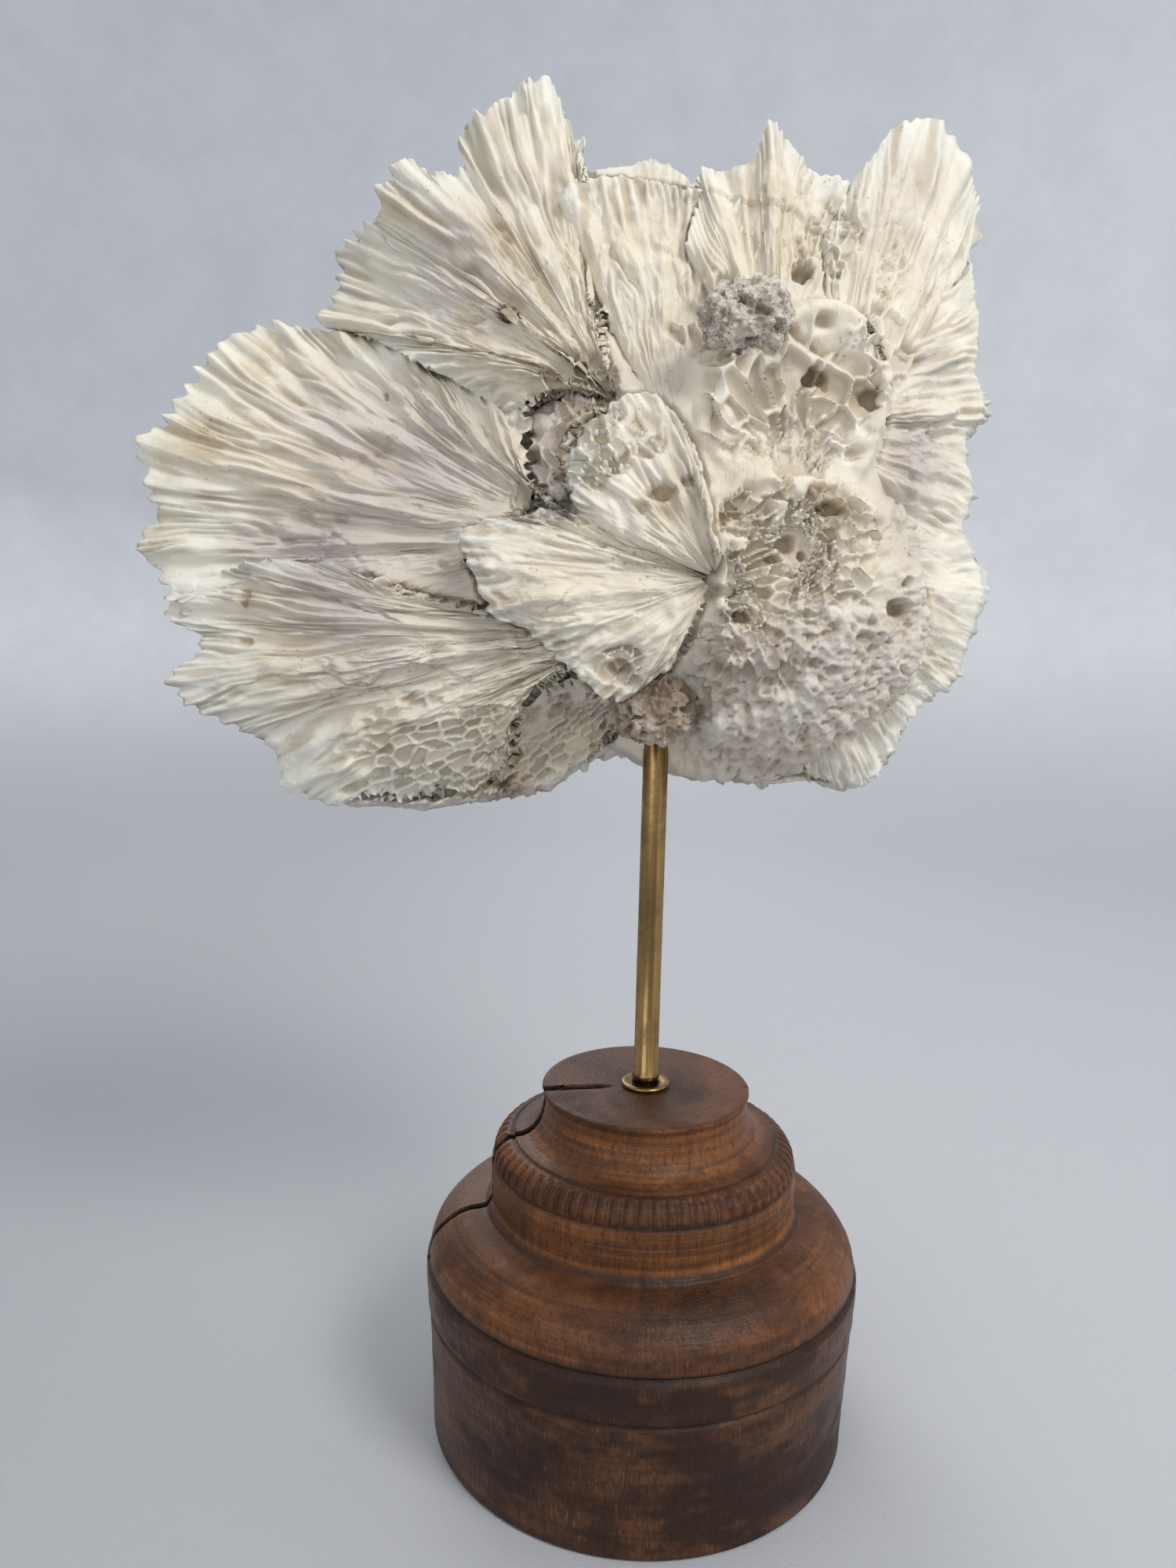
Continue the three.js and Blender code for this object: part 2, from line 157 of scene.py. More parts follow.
def spline(points: Sequence[Point], count: int, closed: bool = False) -> Array:
    """A centripetal Catmull-Rom curve through the points, evened out along its length.

    Args:
        points: the points it passes through.
        count: how many points to return.
        closed: whether the curve comes back to its first point.
    Returns:
        count points, as rows.
    """
    p = np.array(points, dtype=float)
    if closed:
        p = np.vstack([p[-1], p, p[0], p[1]])
    else:
        p = np.vstack([2 * p[0] - p[1], p, 2 * p[-1] - p[-2]])
    t = np.linspace(0.0, 1.0, 24, endpoint=False)[:, None]
    runs = []
    for a, b, c, d in zip(p[:-3], p[1:-2], p[2:-1], p[3:]):
        k0 = 0.0
        k1 = k0 + max(np.linalg.norm(b - a), 1e-6) ** 0.5
        k2 = k1 + max(np.linalg.norm(c - b), 1e-6) ** 0.5
        k3 = k2 + max(np.linalg.norm(d - c), 1e-6) ** 0.5
        k = k1 + (k2 - k1) * t
        ab = (k1 - k) / (k1 - k0) * a + (k - k0) / (k1 - k0) * b
        bc = (k2 - k) / (k2 - k1) * b + (k - k1) / (k2 - k1) * c
        cd = (k3 - k) / (k3 - k2) * c + (k - k2) / (k3 - k2) * d
        abc = (k2 - k) / (k2 - k0) * ab + (k - k0) / (k2 - k0) * bc
        bcd = (k3 - k) / (k3 - k1) * bc + (k - k1) / (k3 - k1) * cd
        runs.append((k2 - k) / (k2 - k1) * abc + (k - k1) / (k2 - k1) * bcd)
    runs.append(p[-2][None])
    curve = np.vstack(runs)
    lengths = np.concatenate([[0.0], np.cumsum(np.linalg.norm(np.diff(curve, axis=0), axis=1))])
    wanted = np.linspace(0.0, lengths[-1], count, endpoint=not closed)
    return np.stack([np.interp(wanted, lengths, curve[:, axis]) for axis in range(3)], axis=1)


# ---------- meshes ----------


@dataclass(frozen=True)
class Shell:
    """A finished closed surface, in millimetres.

    vertices are rows, faces are arrays with one row for each face, masks hold one number for
    each vertex under the name that a material reads, and chart is each vertex's place on the
    surface: across the ribs, and along them.
    """

    vertices: Array
    faces: list[Array]
    masks: dict[str, Array]
    chart: Array

    def to_object(self, name: str, slot: Slot, material: bpy.types.Material,
                  replaces: str) -> bpy.types.Object:
        """Makes the Blender object in metres and gives it to the frame."""
        mesh = bpy.data.meshes.new(name)
        rows = [face for group in self.faces for face in group.tolist()]
        mesh.from_pydata((self.vertices * MM).tolist(), [], rows)
        for mask, values in self.masks.items():
            layer = mesh.attributes.new(mask, "FLOAT", "POINT")
            layer.data.foreach_set("value", values.astype(np.float32).ravel())
        corners = np.empty(len(mesh.loops), dtype=np.int32)
        mesh.loops.foreach_get("vertex_index", corners)
        uv = mesh.uv_layers.new(name="ribs")
        uv.data.foreach_set("uv", (self.chart[corners] * 0.01).astype(np.float32).ravel())
        mesh.polygons.foreach_set("use_smooth", np.ones(len(mesh.polygons), dtype=bool))
        mesh.materials.append(material)
        mesh.update()
        thing = bpy.data.objects.new(name, mesh)
        bpy.context.scene.collection.objects.link(thing)
        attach(thing, "root")
        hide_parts(replaces)
        triangles = sum(len(p) * (p.shape[1] - 2) for p in self.faces)
        LOG.info("%s: %d vertices, %d triangles", name, len(self.vertices), triangles)
        return thing


def surface_normals(grid: Array) -> Array:
    """Unit normals of a grid of points, from the differences along its two parameters."""
    across = np.gradient(grid, axis=0)
    along = np.gradient(grid, axis=1)
    normal = np.cross(across, along)
    return normal / np.maximum(np.linalg.norm(normal, axis=2, keepdims=True), 1e-9)


def grid_quads(index: Array, close: bool = False) -> Array:
    """The quads of a grid of vertex numbers, closed across its first axis if asked."""
    rows = np.vstack([index, index[:1]]) if close else index
    quads = np.stack([rows[:-1, :-1], rows[1:, :-1], rows[1:, 1:], rows[:-1, 1:]], axis=-1)
    return quads.reshape(-1, 4)


def border(grid: Array) -> Array:
    """The outermost entries of a grid, once round."""
    return np.concatenate([grid[:-1, 0], grid[-1, :-1], grid[:0:-1, -1], grid[0, :0:-1]])


def fan(ring: Array, tip: int) -> Array:
    """Triangles that close a ring of vertex numbers with the vertex at its tip."""
    return np.stack([np.roll(ring, -1), ring, np.full_like(ring, tip)], axis=-1)


def capped(index: Array, count: int) -> list[Array]:
    """The faces of a turned grid whose two poles are the last two of count vertices."""
    return [grid_quads(index, close=True), fan(index[:, 0], count - 2),
            fan(index[:, -1], count - 1)[:, [1, 0, 2]]]


def signed_volume(vertices: Array, faces: list[Array]) -> float:
    """Six times the enclosed volume, positive if the faces point outwards."""
    total = 0.0
    for group in faces:
        a = vertices[group[:, 0]]
        for k in range(1, group.shape[1] - 1):
            b, c = vertices[group[:, k]], vertices[group[:, k + 1]]
            total += float(np.einsum("ij,ij->", a, np.cross(b, c)))
    return total


def outward(vertices: Array, faces: list[Array]) -> list[Array]:
    """The faces, all turned over if they point inwards."""
    if signed_volume(vertices, faces) > 0:
        return faces
    return [group[:, ::-1] for group in faces]


# ---------- stains and painted shade ---


FRONT_LIMIT = 26.0  # y in mm, past which a place is at the back and carries no blots


@dataclass(frozen=True)
class Blot:
    """A soft round patch on the colony's front, centred at (x, z)."""

    x: float
    z: float
    radius: float
    strength: float


OCHRE = [
    Blot(-78, 384, 11, 0.6), Blot(-51, 405, 10, 0.35), Blot(-120, 342, 11, 0.8),
    Blot(-138, 320, 10, 0.9), Blot(-153, 310, 8, 0.6), Blot(-153, 287, 8, 0.5),
    Blot(-25, 325, 8, 0.7), Blot(40, 335, 5, 1.0), Blot(53, 330, 5, 0.9), Blot(15, 301, 8, 0.7),
    Blot(44, 300, 5, 0.8), Blot(-2, 302, 6, 0.9), Blot(-43, 216, 15, 0.8), Blot(-47, 353, 3, 1.0),
    Blot(-123, 273, 3, 1.0), Blot(33, 369, 6, 0.7), Blot(65, 271, 4, 1.0), Blot(-95, 355, 10, 0.4),
    Blot(-9, 227, 10, 0.3), Blot(-12, 384, 10, 0.3), Blot(30, 392, 12, 0.35),
    # On this line, the blots at (-45, 372) and (-60, 352) darken the crown as painted shade.
    Blot(-45, 372, 14, 0.45), Blot(-60, 352, 9, 0.4), Blot(22, 396, 8, 0.5),
]
# Grey-violet patches on the front: painted shade, not a stain.
VIOLET_SHADE = [
    Blot(-72, 311, 22, 0.9), Blot(-102, 287, 17, 0.8), Blot(-123, 287, 12, 0.5),
    Blot(-89, 264, 20, 0.6), Blot(-142, 244, 12, 0.6), Blot(-47, 266, 12, 0.5),
    Blot(73, 316, 13, 0.9), Blot(72, 291, 10, 0.6), Blot(-100, 325, 15, 0.5),
    Blot(-68, 367, 12, 0.3), Blot(79, 344, 9, 0.5), Blot(3, 310, 10, 0.3), Blot(60, 240, 14, 0.4),
    Blot(62, 398, 22, 0.32), Blot(-56, 388, 20, 0.36), Blot(-62, 362, 16, 0.3),
]
SOOT = [
    Blot(-36, 298, 5, 0.8), Blot(-29, 300, 4, 0.9), Blot(-43, 296, 3, 0.5), Blot(-47, 353, 2.5, 0.9),
    Blot(-123, 272, 2, 0.7), Blot(18, 272, 3.5, 0.8), Blot(13, 277, 2.5, 0.8),
    Blot(-47, 214, 5, 0.8), Blot(66, 272, 4, 0.6), Blot(37, 367, 3, 0.8), Blot(-38, 330, 4, 0.5),
    Blot(66, 300, 3, 0.5), Blot(-57, 283, 3, 0.5), Blot(28, 340, 4, 0.5), Blot(-4, 249, 7, 0.6),
]


def blotches(blots: Sequence[Blot], points: Array, noise: Noise) -> Array:
    """The sum of the blots at the points, with edges frayed by noise."""
    x = points[:, 0] + 4.0 * noise.fractal(points[:, 0] / 7, points[:, 2] / 7, octaves=3)
    z = points[:, 2] + 4.0 * noise.fractal(points[:, 0] / 7 + 31, points[:, 2] / 7, octaves=3)
    total = np.zeros(len(points))
    for blot in blots:
        total += blot.strength * np.exp(-((x - blot.x) ** 2 + (z - blot.z) ** 2) / blot.radius**2)
    return np.clip(total * (points[:, 1] < FRONT_LIMIT), 0.0, 1.0)


def stains(points: Array, noise: Noise) -> dict[str, Array]:
    """The stain masks, and the violet painted shade mask, at the points, by name."""
    kinds = {"ochre": OCHRE, "violet_shade": VIOLET_SHADE, "soot": SOOT}
    return {name: blotches(blots, points, noise) for name, blots in kinds.items()}


# ---------- how the fronds run together ----------


def blurred(field: Array, sigma: float) -> Array:
    """Gaussian blur: a weighted sum of copies shifted along each axis in turn."""
    offsets = np.arange(-int(3 * sigma), int(3 * sigma) + 1)
    weights = np.exp(-0.5 * (offsets / sigma) ** 2)
    weights /= weights.sum()
    for axis in (0, 1):
        field = sum(w * np.roll(field, o, axis) for o, w in zip(offsets, weights))
    return field


def widest(field: Array, squares: int) -> Array:
    """Each square takes the largest value within so many squares of it."""
    for axis in (0, 1):
        field = np.max([np.roll(field, o, axis) for o in range(-squares, squares + 1)], axis=0)
    return field


class Growth:
    """One side of the colony seen square on, as depths over squares of x and z.

    Live tissue fills the angle where one frond springs from another, so depths are raised
    towards their own blur. rise is how far, and hollow is how deep a place then still lies
    below its surroundings. side is -1 for the front and 1 for the back.
    """

    CELL = 1.0  # size of a square, mm
    LOW = (-185.0, 185.0)  # x and z of the first square, mm
    SHAPE = (320, 260)  # squares along x and along z
    WITHIN = 7.0  # how wide round it a place's surroundings are for its hollow, squares
    DEEPEST = 5.0  # depth below the surroundings that counts as fully hollow, mm

    def __init__(self, side: float) -> None:
        self.side = side
        self.near = np.full(self.SHAPE, -np.inf)
        self.rise = np.zeros(self.SHAPE)
        self.reach = np.zeros(self.SHAPE)
        self.level = np.zeros(self.SHAPE)
        self.hollow = np.zeros(self.SHAPE)

    def _squares(self, x: Array, z: Array) -> tuple[Array, Array]:
        """Positions in the grid of squares, as real numbers."""
        return (x - self.LOW[0]) / self.CELL, (z - self.LOW[1]) / self.CELL

    def lay(self, points: Array) -> None:
        """Keeps the outermost of the points in each square."""
        i, k = self._squares(points[..., 0], points[..., 2])
        cell = (np.rint(i).astype(int), np.rint(k).astype(int))
        np.maximum.at(self.near, cell, self.side * points[..., 1])

    def settle(self, fills: Sequence[tuple[float, float]]) -> None:
        """Works out the rise: for each (blur, slack), the surface rises to its blur less slack."""
        known = np.isfinite(self.near)
        share = known.astype(float)
        near = np.where(known, self.near, 0.0)
        local = blurred(near * share, 1.0) / np.maximum(blurred(share, 1.0), 1e-3)
        near = np.where(known, 0.5 * near + 0.5 * local, local)
        share = (blurred(share, 1.0) > 0.4).astype(float)
        level = near
        for sigma, slack in fills:
            mean = blurred(level * share, sigma) / np.maximum(blurred(share, sigma), 1e-3)
            level = np.maximum(level, mean - slack)
        inland = smoothstep(0.60, 0.85, blurred(share, 4.0))
        self.rise = blurred((level - near) * inland * share, 0.7)
        self.reach = np.maximum(blurred(widest(self.rise, 5), 1.5), self.rise)
        self.near = near
        level = near + self.rise
        mean = blurred(level * share, self.WITHIN) / np.maximum(blurred(share, self.WITHIN), 1e-3)
        self.hollow = np.clip((mean - level) / self.DEEPEST, -0.5, 1.0) * share
        self.level = level

    def read(self, field: Array, x: Array, z: Array) -> Array:
        """The field between its squares, blended from the four round each place."""
        i, k = self._squares(x, z)
        i = np.clip(i, 0, self.SHAPE[0] - 1.001)
        k = np.clip(k, 0, self.SHAPE[1] - 1.001)
        i0, k0 = i.astype(int), k.astype(int)
        a, b = i - i0, k - k0
        low = field[i0, k0] * (1 - a) + field[i0 + 1, k0] * a
        high = field[i0, k0 + 1] * (1 - a) + field[i0 + 1, k0 + 1] * a
        return low * (1 - b) + high * b

    def raised(self, grid: Array) -> Array:
        """The grid moved outwards with the tissue.

        What shows goes up to the level. What lies behind it goes up as far as its surroundings
        do, and stays just under the level.
        """
        x, z = grid[..., 0], grid[..., 2]
        depth = self.side * grid[..., 1]
        behind = np.clip(self.read(self.near, x, z) - depth, 0.0, 5.5)
        lid = np.maximum(self.read(self.level, x, z) - behind, depth)
        moved = grid.copy()
        moved[..., 1] = self.side * np.minimum(depth + self.read(self.reach, x, z), lid)
        return moved


# ---------- marks on the front ----------


@dataclass(frozen=True)
class Comb:
    """A patch of open cells, centred at (x, z), with walls that fan out from a pole.

    around cells make one full turn and rings of them double the radius, so few rings make
    long slits. wall is the wall's share of a cell.
    """

    x: float
    z: float
    reach: float
    pole: tuple[float, float]
    around: int
    rings: float
    depth: float
    stretch: float = 1.0
    wall: float = 0.065


COMBS = [
    Comb(30, 331, 22, (32, 310), 30, 1.0, 3.4, 1.2),
    Comb(48, 332, 12, (32, 310), 20, 2.2, 5.5),
    Comb(61, 346, 12, (32, 310), 44, 3.4, 3.2, 1.2),
    Comb(37, 287, 21, (33, 289), 27, 2.8, 4.2, 1.15),
    Comb(22, 281, 12, (12, 281), 36, 1.2, 4.6, 1.0, 0.08),
    Comb(24, 261, 14, (12, 281), 40, 2.4, 3.8, 1.2),
    Comb(19, 298, 8, (-42, 296), 130, 11.0, 3.2, 0.9),
    Comb(-26, 332, 13, (-4, 318), 44, 4.2, 3.2, 1.2),
    Comb(-8, 318, 7, (10, 300), 40, 3.0, 2.0),
    Comb(44, 377, 12, (30, 330), 100, 9.0, 2.4, 0.8, 0.09),
    Comb(62, 368, 9, (44, 320), 90, 8.0, 1.8, 0.8, 0.09),
    Comb(-60, 222, 24, (10, 262), 170, 9.0, 2.6, 1.5, 0.09),
    Comb(-30, 234, 14, (10, 262), 100, 6.0, 3.2, 1.2, 0.09),
    Comb(-13, 256, 6, (12, 281), 60, 4.6, 3.0, 1.5),
    Comb(14, 352, 12, (28, 330), 34, 3.4, 3.4, 1.2),
    Comb(-27, 316, 14, (-6, 300), 36, 3.2, 4.0, 1.1),
    Comb(-40, 303, 6, (-20, 296), 30, 3.0, 3.0),
]


@dataclass(frozen=True)
class Lip:
    """The edge of a thin later growth: a line of (x, z) points with one side raised."""

    points: Sequence[tuple[float, float]]
    raised: float
    reach: float = 5.0


LIPS = [
    Lip([(-124, 276), (-118, 277), (-112, 275), (-103, 273), (-92, 272), (-80, 268)], -0.9),
    Lip([(-102, 289), (-98, 292), (-93, 288), (-88, 282), (-84, 279)], -0.7, 4),
    Lip([(-102, 318), (-98, 318), (-96, 313)], -0.7, 3),
    Lip([(-93, 309), (-90, 314), (-86, 315), (-80, 319)], -1.2, 4),
    Lip([(-70, 346), (-58, 350), (-50, 354), (-46, 359), (-36, 367)], 0.8, 4),
    Lip([(-50, 276), (-45, 269), (-41, 260), (-37, 265), (-33, 271), (-27, 276)], 1.0, 4),
    Lip([(-119, 248), (-114, 250), (-98, 251), (-84, 248), (-80, 253), (-72, 255), (-62, 253)],
        -0.9, 5),
    Lip([(48, 395), (51, 386), (56, 380), (65, 382), (70, 373), (73, 365)], 0.6, 4),
    Lip([(2, 388), (12, 391), (24, 386), (33, 384), (42, 378)], -0.8, 4),
    Lip([(66, 342), (70, 327), (69, 314), (70, 304), (75, 291), (72, 280)], 1.4, 5),
    Lip([(-30, 396), (-22, 386), (-20, 376), (-14, 366)], 0.8, 4),
    Lip([(60, 268), (66, 258), (72, 252), (74, 244)], 0.9, 4),
    Lip([(-96, 232), (-84, 236), (-70, 238), (-56, 243), (-44, 243)], -1.0, 4),
]


@dataclass(frozen=True)
class Pit:
    """A hole in the front, centred at (x, z): radius in mm, and how deep it goes."""

    x: float
    z: float
    radius: float
    depth: float
    stretch: float = 1.4


PITS = [
    Pit(-13, 255, 2.4, 4), Pit(-30, 262, 1.6, 2), Pit(-3, 303, 2.4, 4, 1.8), Pit(4, 306, 1.5, 3),
    Pit(-8, 299, 1.5, 3), Pit(-39, 238, 2.2, 3), Pit(-29, 241, 2, 3), Pit(-124, 272, 2.0, 3),
    Pit(-124, 259, 1.6, 2.4), Pit(-107, 297, 1.7, 2.0), Pit(-96, 296, 1.7, 2.0),
    Pit(-113, 289, 1.7, 1.8), Pit(-98, 285, 2.4, 1.2, 1.8), Pit(-126, 279, 2.4, 1.6),
    Pit(-84, 333, 1.2, 2, 0.5), Pit(-47, 353, 2.0, 5), Pit(14, 350, 3, 3), Pit(36, 367, 2.6, 5),
    Pit(-68, 213, 2, 3), Pit(-48, 216, 3, 4), Pit(-34, 219, 2, 3), Pit(39, 335, 2.8, 5),
    Pit(54, 331, 2.6, 5), Pit(15, 277, 1.8, 4, 2.2), Pit(20, 270, 2.2, 5), Pit(44, 300, 2.6, 5),
    Pit(40, 258, 1.8, 3), Pit(47, 256, 1.6, 3), Pit(64, 273, 2.6, 6), Pit(66, 281, 1.8, 4, 0.7),
    Pit(-65, 283, 1.5, 1.5), Pit(-73, 299, 1.3, 1.2), Pit(70, 288, 1.8, 3, 0.5),
    Pit(32, 290, 2.2, 4.5, 1.2), Pit(36, 287, 1.3, 3.5, 0.8), Pit(29, 286, 1.1, 3),
]


class Marks:
    """The combs, the lips and the pits of the colony's front, as heights over (x, z)."""

    def __init__(self, seed: int) -> None:
        self.noise = Noise(seed)

    def _comb(self, comb: Comb, x: Array, z: Array) -> tuple[Array, Array, Array]:
        """Share of the patch, depth, and darkening of one comb's cells: partly stain, partly painted
        shade.
        """
        away = np.hypot((x - comb.x) / comb.stretch, z - comb.z) / comb.reach
        share = smoothstep(1.12, 0.72, away + 0.28 * self.noise.value(x / 5 + comb.x, z / 5))
        px = x + 1.6 * self.noise.value(x / 7, z / 7) + 0.25 * self.noise.value(x / 3, z / 3)
        pz = z + 1.6 * self.noise.value(x / 7 + 50, z / 7) + 0.25 * self.noise.value(
            x / 3 + 50, z / 3)
        px, pz = px - comb.pole[0], pz - comb.pole[1]
        radius = np.maximum(np.hypot(px, pz), 0.5)
        turn = np.arctan2(pz, px) / (2 * np.pi) * comb.around
        ring = comb.rings * np.log2(radius) + 60
        _, margin, owner = self.noise.cells(turn, ring, wrap=comb.around)
        middle = smoothstep(1.4, 0.7, 2 * np.pi * radius / comb.around)
        floor = smoothstep(0.4 * comb.wall, 3.2 * comb.wall, margin)
        floor = floor + (0.9 - floor) * middle
        own = 0.5 + 0.5 * owner
        own = own + (0.9 - own) * middle
        return share, comb.depth * own * floor, floor * own

    def combs(self, x: Array, z: Array) -> tuple[Array, Array, Array]:
        """Share, depth, and cell darkening of all the combs together: partly stain, partly painted shade.
        """
        total = [np.zeros(x.shape) for _ in range(3)]
        for comb in COMBS:
            reach = 1.6 * comb.reach * max(comb.stretch, 1.0)
            close = (abs(x - comb.x) < reach) & (abs(z - comb.z) < reach)
            if not close.any():
                continue
            share, depth, stain = self._comb(comb, x[close], z[close])
            for field, value in zip(total, (1.0, depth, stain)):
                field[close] = field[close] * (1 - share) + share * value
        return total[0], total[1], total[2]

    def lips(self, x: Array, z: Array) -> tuple[Array, Array]:
        """Height and groove of all the lips: a soft step on one side of each line."""
        height, groove = np.zeros(x.shape), np.zeros(x.shape)
        wx = x + 0.9 * self.noise.value(x / 3, z / 3 + 20)
        wz = z + 0.9 * self.noise.value(x / 3 + 20, z / 3)
        for lip in LIPS:
            line = np.array(lip.points, dtype=float)
            low, high = line.min(axis=0) - 12, line.max(axis=0) + 12
            close = (x > low[0]) & (x < high[0]) & (z > low[1]) & (z < high[1])
            if not close.any():
                continue
            px, pz = wx[close], wz[close]
            best, sign = np.full(px.shape, 99.0), np.ones(px.shape)
            for (ax, az), (bx, bz) in zip(line[:-1], line[1:]):
                dx, dz = bx - ax, bz - az
                t = np.clip(((px - ax) * dx + (pz - az) * dz) / (dx * dx + dz * dz), 0, 1)
                away = np.hypot(px - ax - t * dx, pz - az - t * dz)
                turn = np.sign((px - ax) * dz - (pz - az) * dx)
                nearer = away < best
                best, sign = np.where(nearer, away, best), np.where(nearer, turn, sign)
            up = smoothstep(-0.45, 0.45, sign * best * math.copysign(1, lip.raised))
            step = abs(lip.raised) * up * np.exp(-((best / lip.reach) ** 2))
            height[close] += step + 0.25 * np.exp(-((best / 0.8) ** 2)) * up
            crease = np.exp(-((best / 0.8) ** 2)) * (1 - up)
            height[close] -= 0.5 * crease
            groove[close] = np.maximum(groove[close], crease)
        return height, groove

    def holes(self, x: Array, z: Array) -> Array:
        """Depth of the pits: a steep-sided frayed oval for each."""
        depth = np.zeros(x.shape)
        frayed = 1 + 0.3 * self.noise.value(x / 2.0, z / 2.0)
        for pit in PITS:
            away = np.hypot((x - pit.x) / pit.stretch, z - pit.z) / pit.radius * frayed
            depth = np.maximum(depth, pit.depth * smoothstep(1.15, 0.6, away))
        return depth


# ---------- fronds ----------


@dataclass(frozen=True)
class Relief:
    """How a frond's faces are worked, in mm.

    A rib stands height high and pitch from the next. folds carry several ribs. The margin
    has teeth of serration and bays of scallop, and waves out and in by ruffle.
    """

    pitch: float = 4.2
    height: float = 0.9
    fold_pitch: float = 14.0
    fold_height: float = 2.21
    swell: float = 2.6
    serration: float = 2.6
    scallop: float = 4.0
    ruffle: float = 3.0
    crust: float = 0.16
    rim_crust: float = 0.0


@dataclass(frozen=True)
class FrondPlan:
    """One frond: a plate whose ribs leave a root point and run out to a margin.

    stem bends the ribs, as the offset from the root that they first aim for. bulge lifts the
    plate's middle outwards, and thick is its thickness at the root and at the margin. calm is
    the share of the margin, at its start and at its end, that lies on another frond toothless.
    """

    name: str
    root: Point
    margin: Sequence[Point]
    stem: Point | None
    bulge: float
    thick: tuple[float, float]
    faces_back: bool = False
    relief: Relief = field(default_factory=Relief)
    calm: tuple[float, float] = (0.0, 0.0)


